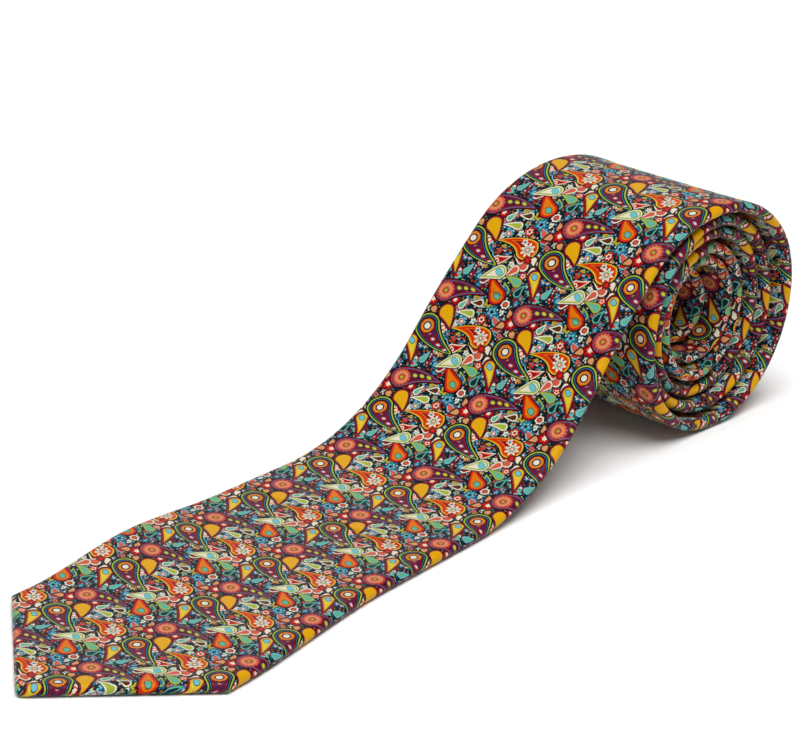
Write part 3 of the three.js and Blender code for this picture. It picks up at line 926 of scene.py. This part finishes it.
def long_plum_drop(pen, point, paint):
    """A long leaf of nested plum, blue and red lines, a salmon rosette in its head."""
    depth, run, side = drop(pen, point, 0.4, 14.8, 36, 15.2, 4.9, -7.4, 0.58)
    paint = pen.layer(paint, depth, [(0.0, NAVY), (0.10, DARK_RED), (0.18, BLUE), (0.25, PLUM),
                                     (0.34, DARK_RED), (0.42, NAVY), (0.50, PLUM)])
    seeds = seed_row(pen, run, side, 2.6, 0.85, 3.9, 11.7)
    paint = pen.layer(paint, seeds, [(0.0, LIME), (0.45, YELLOW)])
    bloom = rosette(pen, point, 0.4, 14.8, 3.7, 14, 0.07)
    return pen.layer(paint, bloom, [(0.0, DARK_RED), (0.10, SALMON), (0.32, PEACH), (0.55, SALMON),
                                    (0.72, DARK_RED), (0.82, LIME)])


def small_drops(pen, point, paint):
    """Four middle-sized leaves, each with an oval eye in another ink."""
    plan = [
        (21.4, 18.6, 140, 10.2, 3.8, -1.6,
         [(0.0, NAVY), (0.11, DARK_RED), (0.19, RED), (0.38, ORANGE)], 1.5, [(0.0, NAVY), (0.16, MINT)]),
        (-3.4, -7.0, -58, 11.2, 3.2, -1.8,
         [(0.0, NAVY), (0.11, DARK_RED), (0.23, PLUM), (0.33, GOLD), (0.5, YELLOW)],
         1.4, [(0.0, NAVY), (0.16, SKY)]),
        (17.2, -9.2, 208, 8.6, 3.3, 1.2,
         [(0.0, NAVY), (0.11, CREAM), (0.24, LIME), (0.44, CREAM)], 1.6, [(0.0, MINT), (0.2, SKY)]),
        (13.8, -5.2, 20, 6.4, 2.3, 1.6,
         [(0.0, NAVY), (0.13, CREAM), (0.32, RED), (0.55, DARK_RED)], 0.9, [(0.0, CREAM), (0.5, RED)]),
    ]
    for across, along, turn, length, radius, curl, bands, eye_radius, eye_bands in plan:
        depth = drop(pen, point, across, along, turn, length, radius, curl)[0]
        paint = pen.layer(paint, depth, bands)
        eye = rosette(pen, point, across, along, eye_radius, 2, 0.18, 0.6)
        paint = pen.layer(paint, eye, eye_bands)
    return paint


BARE = (4.0, 0.0, 0.0, 1.0)     # a red that no ink reaches marks the cloth that is still bare


def paisley_print():
    """The whole design: a point on the flat cloth in millimetres in, an ink out."""
    tree = bpy.data.node_groups.new("paisley_print", "ShaderNodeTree")
    tree.interface.new_socket("Point", in_out="INPUT", socket_type="NodeSocketVector")
    tree.interface.new_socket("Ink", in_out="OUTPUT", socket_type="NodeSocketColor")
    place = tree.nodes.new("NodeGroupInput").outputs["Point"]
    pen = Pen(tree)
    point = pen.split(place)
    paint = leaves(pen, point, BARE)
    paint = flowers(pen, point, paint)
    paint = small_drops(pen, point, paint)
    paint = long_plum_drop(pen, point, paint)
    paint = flame_hook(pen, point, paint)
    paint = lime_drop(pen, point, paint)
    paint = gold_drop(pen, point, paint)
    red_value = pen.add("ShaderNodeSeparateColor", {0: paint})
    covered = pen.math("LESS_THAN", red_value, BARE[0] / 2)
    ink_out = pen.mix(covered, filling(pen, place), paint)
    tree.links.new(ink_out, tree.nodes.new("NodeGroupOutput").inputs["Ink"])
    return tree


PRINT = paisley_print()
print("print nodes:", len(PRINT.nodes))


# %% Silk twill
TWILL_PITCH = 0.45
RING_ACROSS = 7.2
RING_ALONG = 48.7
DYE_LOW = 0.54
DYE_SPREAD = 0.3
DYE_SATURATION = 1.08


def silk_material(name):
    """Printed silk twill: the print in the cloth's own coordinates, a fine diagonal rib, a soft sheen."""
    material = bpy.data.materials.new(name)
    material.use_nodes = True
    tree = material.node_tree
    shader = tree.nodes["Principled BSDF"]
    pen = Pen(tree)
    cloth = pen.add("ShaderNodeUVMap", {}, uv_map="cloth")
    in_mm = pen.vector("MULTIPLY", cloth, (-1000.0, 1000.0, 0.0))
    point = pen.vector("SUBTRACT", in_mm, (RING_ACROSS, RING_ALONG, 0.0))
    design = tree.nodes.new("ShaderNodeGroup")
    design.node_tree = PRINT
    tree.links.new(point, design.inputs["Point"])
    grain = pen.add("ShaderNodeTexNoise", {"Vector": in_mm, "Scale": 1.6, "Detail": 2.0})
    worn = pen.add("ShaderNodeHueSaturation", {"Color": design.outputs["Ink"], "Saturation": DYE_SATURATION,
                                               "Value": pen.math("MULTIPLY_ADD", grain, DYE_SPREAD, DYE_LOW)})
    tree.links.new(worn, shader.inputs["Base Color"])
    x, y = pen.split(in_mm)
    rib = pen.math("SINE", pen.math("MULTIPLY", pen.math("ADD", x, y), 2 * math.pi / TWILL_PITCH))
    bump = pen.add("ShaderNodeBump", {"Height": rib, "Strength": 0.12, "Distance": 0.00003})
    tree.links.new(bump, shader.inputs["Normal"])
    shader.inputs["Roughness"].default_value = 0.46
    shader.inputs["Specular IOR Level"].default_value = 0.11
    shader.inputs["Sheen Weight"].default_value = 0.02
    shader.inputs["Sheen Roughness"].default_value = 0.35
    shader.inputs["Sheen Tint"].default_value = (0.9, 0.85, 0.85, 1.0)
    return material


printed_silk = silk_material("printed_silk")


# %% The four stretches of the front blade, then the neck and the tail
SILK = 0.0004
NECK_SEAM = length_at_angle(LEAVE_ANGLE + math.radians(220))
TAIL_SEAM = length_at_angle(LEAVE_ANGLE + math.radians(1100))
SPLIT_FLAT = 0.163
SPLIT_RAMP = 0.288
SPLIT_ROLL = 0.395

BLADE_CUT = (0.0, 0.0)
NECK_CUT = (0.0, 0.012)
TAIL_CUT = (0.015, 0.020)
SILK_PIECES = [
    ("front_blade_point", APEX, SPLIT_FLAT, False, False, BLADE_CUT),
    ("front_blade_flat", SPLIT_FLAT, SPLIT_RAMP, False, False, BLADE_CUT),
    ("front_blade_rise", SPLIT_RAMP, SPLIT_ROLL, False, False, BLADE_CUT),
    ("front_blade_wound", SPLIT_ROLL, NECK_SEAM, False, True, BLADE_CUT),
    ("neck_piece", NECK_SEAM, TAIL_SEAM, True, True, NECK_CUT),
    ("tail_piece", TAIL_SEAM, TIE_LENGTH - APEX, True, False, TAIL_CUT),
]
silk = {}
for name, start, stop, slant_start, slant_stop, cut in SILK_PIECES:
    drawing = tube_drawing(name, start, stop, slant_start, slant_stop, cut)
    silk[name] = lay(drawing, printed_silk, SILK)
    print(name, "polygons:", len(silk[name].data.polygons))

# %% [markdown]
# ## What is inside the tube
# A brushed wool interlining fills the tie from point to point and gives it its body. At both pointed ends
# a satin lining, the tipping, covers it, and shows in the V between the flaps. Both are flat sheets,
# drawn and laid like the silk.

# %% Inner sheets
WOOL = 0.0016
WOOL_TOP = 0.00125
WOOL_INSET = 0.0030
TIPPING = 0.0003
TIPPING_HEIGHT = -0.00115
TIPPING_INSET = 0.0027
INNER_START = 0.006
INNER_END = TIE_LENGTH - 0.010
TIPPING_REACH = 0.016
INNER_STEPS = 12
LEAST_HALF = 0.0005
LINING_SEAM = length_at_angle(LEAVE_ANGLE + math.radians(960))
LINING_GAP = 0.0005


def sheet_drawing(name, start, stop, half_of, height_of, steps=INNER_STEPS):
    """A flat drawing of a plain sheet: half_of(s) is half its width, height_of(s, w) its height."""
    points = []
    coords = []
    for s in stations(start, stop):
        across = np.linspace(1, -1, steps + 1) * half_of(s)
        height = height_of(s, across)
        points.append(np.stack([np.full(steps + 1, s), across + centre_line(s), height], 1))
        coords.append(np.stack([across, np.full(steps + 1, s)], 1))
    return grid_drawing(name, points, coords)


def cloth_material(name, colour, second, thread_size, roughness, sheen, stretch=1.0):
    """Plain woven cloth: crossing ribs in two tones, in the cloth's own coordinates."""
    material = bpy.data.materials.new(name)
    material.use_nodes = True
    tree = material.node_tree
    shader = tree.nodes["Principled BSDF"]
    pen = Pen(tree)
    cloth = pen.add("ShaderNodeUVMap", {}, uv_map="cloth")
    in_mm = pen.vector("MULTIPLY", cloth, (1000.0, 1000.0, 0.0))
    x, y = pen.split(in_mm)
    rate = 2 * math.pi / thread_size
    warp = pen.math("SINE", pen.math("MULTIPLY", x, rate))
    weft = pen.math("SINE", pen.math("MULTIPLY", y, rate * stretch))
    weave = pen.math("MULTIPLY", warp, weft)
    fuzz = pen.add("ShaderNodeTexNoise", {"Vector": in_mm, "Scale": 0.9, "Detail": 4.0, "Roughness": 0.7})
    tone = pen.math("ADD", pen.math("MULTIPLY", weave, 0.25), fuzz)
    tree.links.new(pen.mix(tone, colour, second), shader.inputs["Base Color"])
    height = pen.math("ADD", pen.math("MULTIPLY", weave, 0.5), fuzz)
    bump = pen.add("ShaderNodeBump", {"Height": height, "Strength": 0.4, "Distance": 0.00008})
    tree.links.new(bump, shader.inputs["Normal"])
    shader.inputs["Roughness"].default_value = roughness
    shader.inputs["Sheen Weight"].default_value = sheen
    return material


brushed_wool = cloth_material("interlining_wool", ink(226, 216, 190), ink(200, 188, 160), 1.6, 0.95, 0.5)
tipping_satin = cloth_material("tipping_satin", ink(20, 36, 60), ink(38, 60, 92), 0.36, 0.38, 0.2, 0.25)


def wool_half(s):
    return max(LEAST_HALF, float(half_width(s)) - WOOL_INSET)


def wool_height(s, w):
    return WOOL_TOP + lift(s, w)


def tipping_half(s):
    return max(LEAST_HALF, float(half_width(s)) - TIPPING_INSET)


def tipping_height(s, w):
    return TIPPING_HEIGHT + lift(s, w)


WOOL_PIECES = [
    ("interlining_point", INNER_START, SPLIT_FLAT),
    ("interlining_flat", SPLIT_FLAT, SPLIT_RAMP),
    ("interlining_rise", SPLIT_RAMP, SPLIT_ROLL),
    ("interlining_wound", SPLIT_ROLL, LINING_SEAM),
    ("interlining_tail", LINING_SEAM + LINING_GAP, INNER_END),
]
wool = {}
for name, start, stop in WOOL_PIECES:
    drawing = sheet_drawing(name, start, stop, wool_half, wool_height)
    wool[name] = lay(drawing, brushed_wool, WOOL)
TIPPING_PIECES = [
    ("front_tipping_sheet", INNER_START, VEE_END + TIPPING_REACH),
    ("tail_tipping_sheet", TAIL_VEE_START - TIPPING_REACH, INNER_END),
]
tippings = {}
for name, start, stop in TIPPING_PIECES:
    drawing = sheet_drawing(name, start, stop, tipping_half, tipping_height)
    tippings[name] = lay(drawing, tipping_satin, TIPPING)
print("inner sheets:", [*wool, *tippings])

# %% [markdown]
# ## Stitches
# Stitches repeat, so one Geometry Nodes tree makes them all: it sets a short bent thread on each point of a
# drawing, turned by the point's own angle. The slip stitch ladders across the seam on the back, the two
# bar tacks are tight bundles at the foot of each V, and single stitches hold the keeper and the labels.

# %% The stitch tree
def stitch_tree():
    tree = bpy.data.node_groups.new("stitches", "GeometryNodeTree")
    face = tree.interface
    face.new_socket("Geometry", in_out="INPUT", socket_type="NodeSocketGeometry")
    for name in ("Length", "Thread", "Rise"):
        face.new_socket(name, in_out="INPUT", socket_type="NodeSocketFloat")
    face.new_socket("Geometry", in_out="OUTPUT", socket_type="NodeSocketGeometry")
    nodes, links = tree.nodes, tree.links
    given = nodes.new("NodeGroupInput")
    result = nodes.new("NodeGroupOutput")
    half = nodes.new("ShaderNodeMath")
    half.operation = "MULTIPLY"
    half.inputs[1].default_value = 0.5
    other = nodes.new("ShaderNodeMath")
    other.operation = "MULTIPLY"
    other.inputs[1].default_value = -0.5
    start = nodes.new("ShaderNodeCombineXYZ")
    middle = nodes.new("ShaderNodeCombineXYZ")
    end = nodes.new("ShaderNodeCombineXYZ")
    path = nodes.new("GeometryNodeCurveQuadraticBezier")
    path.inputs["Resolution"].default_value = 6
    ring = nodes.new("GeometryNodeCurvePrimitiveCircle")
    ring.inputs["Resolution"].default_value = 6
    thread = nodes.new("GeometryNodeCurveToMesh")
    thread.inputs["Fill Caps"].default_value = True
    to_points = nodes.new("GeometryNodeMeshToPoints")
    angle = nodes.new("GeometryNodeInputNamedAttribute")
    angle.data_type = "FLOAT"
    angle.inputs["Name"].default_value = "turn"
    spin = nodes.new("ShaderNodeCombineXYZ")
    as_rotation = nodes.new("FunctionNodeEulerToRotation")
    place = nodes.new("GeometryNodeInstanceOnPoints")
    realize = nodes.new("GeometryNodeRealizeInstances")
    links.new(given.outputs["Length"], half.inputs[0])
    links.new(given.outputs["Length"], other.inputs[0])
    links.new(half.outputs[0], end.inputs["X"])
    links.new(other.outputs[0], start.inputs["X"])
    links.new(given.outputs["Rise"], middle.inputs["Z"])
    links.new(start.outputs[0], path.inputs["Start"])
    links.new(middle.outputs[0], path.inputs["Middle"])
    links.new(end.outputs[0], path.inputs["End"])
    links.new(given.outputs["Thread"], ring.inputs["Radius"])
    links.new(path.outputs["Curve"], thread.inputs["Curve"])
    links.new(ring.outputs["Curve"], thread.inputs["Profile Curve"])
    links.new(given.outputs["Geometry"], to_points.inputs["Mesh"])
    links.new(to_points.outputs["Points"], place.inputs["Points"])
    links.new(thread.outputs["Mesh"], place.inputs["Instance"])
    links.new(angle.outputs["Attribute"], spin.inputs["Z"])
    links.new(spin.outputs[0], as_rotation.inputs[0])
    links.new(as_rotation.outputs[0], place.inputs["Rotation"])
    links.new(place.outputs["Instances"], realize.inputs["Geometry"])
    links.new(realize.outputs["Geometry"], result.inputs["Geometry"])
    return tree


STITCH_TREE = stitch_tree()
THREAD_RADIUS = 0.00016


def thread_material():
    """Twisted silk thread: a fine slanting stripe in the object's own coordinates."""
    material = bpy.data.materials.new("sewing_thread")
    material.use_nodes = True
    tree = material.node_tree
    shader = tree.nodes["Principled BSDF"]
    pen = Pen(tree)
    place = pen.add("ShaderNodeTexCoord", {}, "Object")
    twist = pen.add("ShaderNodeTexWave", {"Vector": place, "Scale": 900.0, "Distortion": 1.0},
                    bands_direction="DIAGONAL")
    tree.links.new(pen.mix(twist, ink(24, 34, 58), ink(64, 80, 112)), shader.inputs["Base Color"])
    shader.inputs["Roughness"].default_value = 0.6
    shader.inputs["Sheen Weight"].default_value = 0.3
    return material


sewing_thread = thread_material()


def stitches(name, marks, length, rise=-0.0002, thread=THREAD_RADIUS):
    """Stitches at marks, a list of (s, w, h, angle): angle 0 runs along the tie."""
    mesh = bpy.data.meshes.new(name)
    mesh.from_pydata([(s, w + float(centre_line(s)), h) for s, w, h, _ in marks], [], [])
    turn = mesh.attributes.new("turn", "FLOAT", "POINT")
    turn.data.foreach_set("value", [angle for _, _, _, angle in marks])
    holder = bpy.data.objects.new(name, mesh)
    bpy.context.scene.collection.objects.link(holder)
    modifier = holder.modifiers.new("stitches", "NODES")
    modifier.node_group = STITCH_TREE
    modifier[socket_id(STITCH_TREE, "Length")] = length
    modifier[socket_id(STITCH_TREE, "Thread")] = thread
    modifier[socket_id(STITCH_TREE, "Rise")] = rise
    return lay(holder, sewing_thread)


# %% The slip stitch along the back, and the two bar tacks
BACK = -STACK / 2
STITCH_STEP = 0.0055
STITCH_LENGTH = 0.0030
STITCH_SLANT = math.radians(62)
STITCH_ROOM = 0.002
STITCH_HEIGHT = BACK + 0.00022
STITCH_START = VEE_END + TIPPING_REACH + STITCH_ROOM
STITCH_END = TAIL_VEE_START - TIPPING_REACH - STITCH_ROOM


def seam_marks(start, stop):
    places = np.arange(start + STITCH_ROOM, stop - STITCH_ROOM, STITCH_STEP)
    return [(s, 0.0, STITCH_HEIGHT, STITCH_SLANT) for s in places]


SLIP_PIECES = [
    ("slip_stitch_point", STITCH_START, SPLIT_FLAT),
    ("slip_stitch_flat", SPLIT_FLAT, SPLIT_RAMP),
    ("slip_stitch_rise", SPLIT_RAMP, SPLIT_ROLL),
    ("slip_stitch_wound", SPLIT_ROLL, STITCH_END),
]
slip = {name: stitches(name, seam_marks(start, stop), STITCH_LENGTH) for name, start, stop in SLIP_PIECES}
FRONT_TACK = VEE_END - 0.009
TAIL_TACK = TAIL_VEE_START + 0.007
TACK_THREADS = 7
TACK_STEP = 0.00032
TACK_HEIGHT = BACK + 0.00032
TACK_BITE = 0.0008      # how far the tack reaches into each flap
WRAP_STEP = 0.00036
WRAP_SLANT = 0.15
WRAP_SPARE = 0.0003
WRAP_THREAD = 0.00014


def tack(name, s):
    """A bar tack: close threads across the gap, bound by shorter ones wrapped round them."""
    reach = 2 * flap_gap(s) + 2 * TACK_BITE
    bars = [(s + i * TACK_STEP, 0.0, TACK_HEIGHT, math.pi / 2) for i in range(TACK_THREADS)]
    middle = s + (TACK_THREADS - 1) / 2 * TACK_STEP
    holder = stitches(name, bars, reach, -0.0001)
    places = np.arange(-reach / 2, reach / 2, WRAP_STEP)
    wraps = [(middle, w, STITCH_HEIGHT, WRAP_SLANT) for w in places]
    wrap_length = TACK_THREADS * TACK_STEP + WRAP_SPARE
    binding = stitches(name + "_binding", wraps, wrap_length, thread=WRAP_THREAD)
    shape = bmesh.new()
    shape.from_mesh(holder.data)
    shape.from_mesh(binding.data)
    shape.to_mesh(holder.data)
    shape.free()
    bpy.data.objects.remove(binding)
    return holder


front_tack = tack("front_bar_tack_threads", FRONT_TACK)
tail_tack = tack("tail_bar_tack_threads", TAIL_TACK)
print("slip stitches:", {name: len(piece.data.polygons) for name, piece in slip.items()})

# %% The spare loop of thread
LOOP_RADIUS = 0.0035
LOOP_S = FRONT_TACK - LOOP_RADIUS - 0.002
LOOP_POINTS = 48
LOOP_HEIGHT = BACK + 0.00038
LOOP_WAVE = 0.00008
LOOP_OVAL = 0.10
LOOP_TURN = 0.6
LOOP_THREAD = 0.0002


def thread_tube(name, path, radius, sides=8):
    """A closed thread through the points of a path, drawn in tie coordinates (s, w, h)."""
    points = []
    count = len(path)
    for i, here in enumerate(path):
        ahead = path[(i + 1) % count]
        behind = path[i - 1]
        run = Vector(ahead) - Vector(behind)
        side = run.cross(Vector((0, 0, 1))).normalized()
        for k in range(sides):
            angle = FULL_TURN * k / sides
            offset = side * math.cos(angle) + Vector((0, 0, 1)) * math.sin(angle)
            point = Vector(here) + offset * radius
            points.append((point.x, point.y + float(centre_line(point.x)), point.z))
    faces = []
    for i in range(count):
        for k in range(sides):
            a, b = i * sides + k, i * sides + (k + 1) % sides
            c, d = (b + sides) % (count * sides), (a + sides) % (count * sides)
            faces.append((d, c, b, a))
    mesh = bpy.data.meshes.new(name)
    mesh.from_pydata(points, [], faces)
    holder = bpy.data.objects.new(name, mesh)
    bpy.context.scene.collection.objects.link(holder)
    return lay(holder, sewing_thread)


def loop_path():
    path = []
    for i in range(LOOP_POINTS):
        angle = FULL_TURN * i / LOOP_POINTS
        reach = LOOP_RADIUS * (1 + LOOP_OVAL * math.cos(2 * angle + LOOP_TURN))
        height = LOOP_HEIGHT + LOOP_WAVE * math.sin(3 * angle)
        path.append((LOOP_S + reach * math.cos(angle), reach * math.sin(angle), height))
    return path


spare_loop = thread_tube("spare_thread_loop", loop_path(), LOOP_THREAD)

# %% [markdown]
# ## Keeper loop and labels
# The keeper loop is a strap of the same silk, folded to a narrow band and sewn down at both ends, so the
# narrow end of the tie can be tucked through it. Above it sit two labels, left blank here: a
# dark woven one that spans the blade, and a small pale one.

# %% Keeper loop
KEEPER_FROM = 0.236
KEEPER_LENGTH = 0.015
KEEPER_HALF = 0.024
KEEPER_SEWN = 0.005
KEEPER_SLACK = 0.0016
KEEPER_CLOTH = 0.0009
KEEPER_STEPS = 40
SEWN_GAP = 0.0001


def keeper_height(s, w):
    """The strap lies on the back at its sewn ends and bows away from it in between."""
    bow = 1 - smooth(np.abs(w), KEEPER_HALF - 3 * KEEPER_SEWN, KEEPER_HALF - KEEPER_SEWN)
    return BACK - SEWN_GAP - KEEPER_SLACK * bow


def strip(name, start, length, half, height_of, steps=INNER_STEPS):
    """The flat drawing of a strip of even width."""
    return sheet_drawing(name, start, start + length, lambda s: half, height_of, steps)


keeper = strip("keeper_strap", KEEPER_FROM, KEEPER_LENGTH, KEEPER_HALF, keeper_height, KEEPER_STEPS)
keeper = lay(keeper, printed_silk, KEEPER_CLOTH)

# %% Labels
LABEL_CLOTH = 0.0003
MAKER_FROM = FOOT_END + 0.002
MAKER_LENGTH = 0.022
MAKER_HALF = 0.024
CARE_FROM = MAKER_FROM + MAKER_LENGTH + 0.003
CARE_LENGTH = 0.016
CARE_HALF = 0.009
FIXING_STEP = 0.0016
FIXING_START = 0.001
FIXING_END = 0.0005
FIXING_INSET = 0.0009
FIXING_SINK = 0.00006
FIXING_LENGTH = 0.0011
FIXING_RISE = -0.0001
FIXING_THREAD = 0.00012
label_cloth = cloth_material("label_cloth", ink(22, 28, 40), ink(46, 54, 70), 0.30, 0.5, 0.2, 0.5)
care_cloth = cloth_material("care_cloth", ink(232, 226, 210), ink(214, 206, 186), 0.26, 0.45, 0.2, 0.5)


def label_height(s, w):
    return np.full(len(w), BACK - SEWN_GAP)


maker = strip("maker_label_blank", MAKER_FROM, MAKER_LENGTH, MAKER_HALF, label_height)
maker = lay(maker, label_cloth, LABEL_CLOTH)
care = strip("care_label_blank", CARE_FROM, CARE_LENGTH, CARE_HALF, label_height)
care = lay(care, care_cloth, LABEL_CLOTH)


def end_stitches(start, length, half, cloth):
    """Small stitches down both short sides of a strap or label, and none along its long sides."""
    height = BACK - SEWN_GAP - cloth + FIXING_SINK
    marks = []
    for side in (-1, 1):
        for s in np.arange(start + FIXING_START, start + length - FIXING_END, FIXING_STEP):
            marks.append((s, side * (half - FIXING_INSET), height, 0.0))
    return marks


keeper_marks = end_stitches(KEEPER_FROM, KEEPER_LENGTH, KEEPER_HALF, KEEPER_CLOTH)
maker_marks = end_stitches(MAKER_FROM, MAKER_LENGTH, MAKER_HALF, LABEL_CLOTH)
care_marks = end_stitches(CARE_FROM, CARE_LENGTH, CARE_HALF, LABEL_CLOTH)
fixing_marks = keeper_marks + maker_marks + care_marks
fixing = stitches("keeper_and_label_stitches", fixing_marks, FIXING_LENGTH, FIXING_RISE, FIXING_THREAD)
print("fixing stitches:", len(fixing_marks))

# %% [markdown]
# ## Attach to the moving bodies
# The pieces wound in the roll follow the roll body, the front tipping, the front bar tack and the spare loop
# follow the tip, and the keeper and the labels follow the ramp. The point, flat and rise stretches of each
# layer only have their transform applied.


def bend(piece):
    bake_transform(piece)


def carry(point, flat, rise, wound):
    """The four stretches of one layer, from the point of the blade to the roll."""
    bend(point)
    bend(flat)
    bend(rise)
    for piece in wound:
        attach(piece, "roll")


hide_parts("tip_shell")
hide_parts("blade_shell")
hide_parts("ramp_shell")
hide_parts("wound_shell")
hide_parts("neck_shell")
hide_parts("tail_shell")
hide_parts("tip_interlining")
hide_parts("blade_interlining")
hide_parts("ramp_interlining")
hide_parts("wound_interlining")
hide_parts("tail_interlining")
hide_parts("front_tipping")
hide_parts("tail_tipping")
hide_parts("tip_slip_stitch")
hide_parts("blade_slip_stitch")
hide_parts("ramp_slip_stitch")
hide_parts("wound_slip_stitch")
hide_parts("front_bar_tack")
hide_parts("tail_bar_tack")
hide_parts("reserve_thread_loop")
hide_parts("keeper_loop")
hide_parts("maker_label")
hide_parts("care_label")

in_roll = [silk["front_blade_wound"], silk["neck_piece"], silk["tail_piece"]]
carry(silk["front_blade_point"], silk["front_blade_flat"], silk["front_blade_rise"], in_roll)
in_roll = [wool["interlining_wound"], wool["interlining_tail"], tippings["tail_tipping_sheet"], tail_tack]
carry(wool["interlining_point"], wool["interlining_flat"], wool["interlining_rise"], in_roll)
in_roll = [slip["slip_stitch_wound"]]
carry(slip["slip_stitch_point"], slip["slip_stitch_flat"], slip["slip_stitch_rise"], in_roll)
for piece in (tippings["front_tipping_sheet"], front_tack, spare_loop):
    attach(piece, "tip")
for piece in (keeper, maker, care, fixing):
    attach(piece, "ramp")

# %% [markdown]
# ## Flat sizes
# The size of each sheet when it is unfolded and laid flat is printed, with its cut area. A stretch of the
# tube is as wide as the way round its section.

WIDTH_SAMPLES = 60
WIDTH_ROOM = 0.00001


def flat_size(start, stop, width_of):
    """Largest width, length, and cut area of a stretch, all in metres."""
    widths = [width_of(s) for s in np.linspace(start + WIDTH_ROOM, stop - WIDTH_ROOM, WIDTH_SAMPLES)]
    width, length = max(widths), stop - start
    area = sum(widths) / len(widths) * length
    return (round(width, 4), round(length, 4)), min(width * length, area)


def declare(piece, start, stop, width_of):
    flat, area = flat_size(start, stop, width_of)
    in_mm = [round(v / MM, 1) for v in flat]
    print(piece.name, "flat (mm):", in_mm, "cut area (cm2):", round(area * 1e4, 1))


for name, start, stop, *_ in SILK_PIECES:
    declare(silk[name], start, stop, cloth_width)
for name, start, stop in WOOL_PIECES:
    declare(wool[name], start, stop, lambda s: 2 * wool_half(s))
for name, start, stop in TIPPING_PIECES:
    declare(tippings[name], start, stop, lambda s: 2 * tipping_half(s))
declare(keeper, KEEPER_FROM, KEEPER_FROM + KEEPER_LENGTH, lambda s: 2 * KEEPER_HALF)
declare(maker, MAKER_FROM, MAKER_FROM + MAKER_LENGTH, lambda s: 2 * MAKER_HALF)
declare(care, CARE_FROM, CARE_FROM + CARE_LENGTH, lambda s: 2 * CARE_HALF)

# %% Clear the guide
bpy.data.objects.remove(guide)
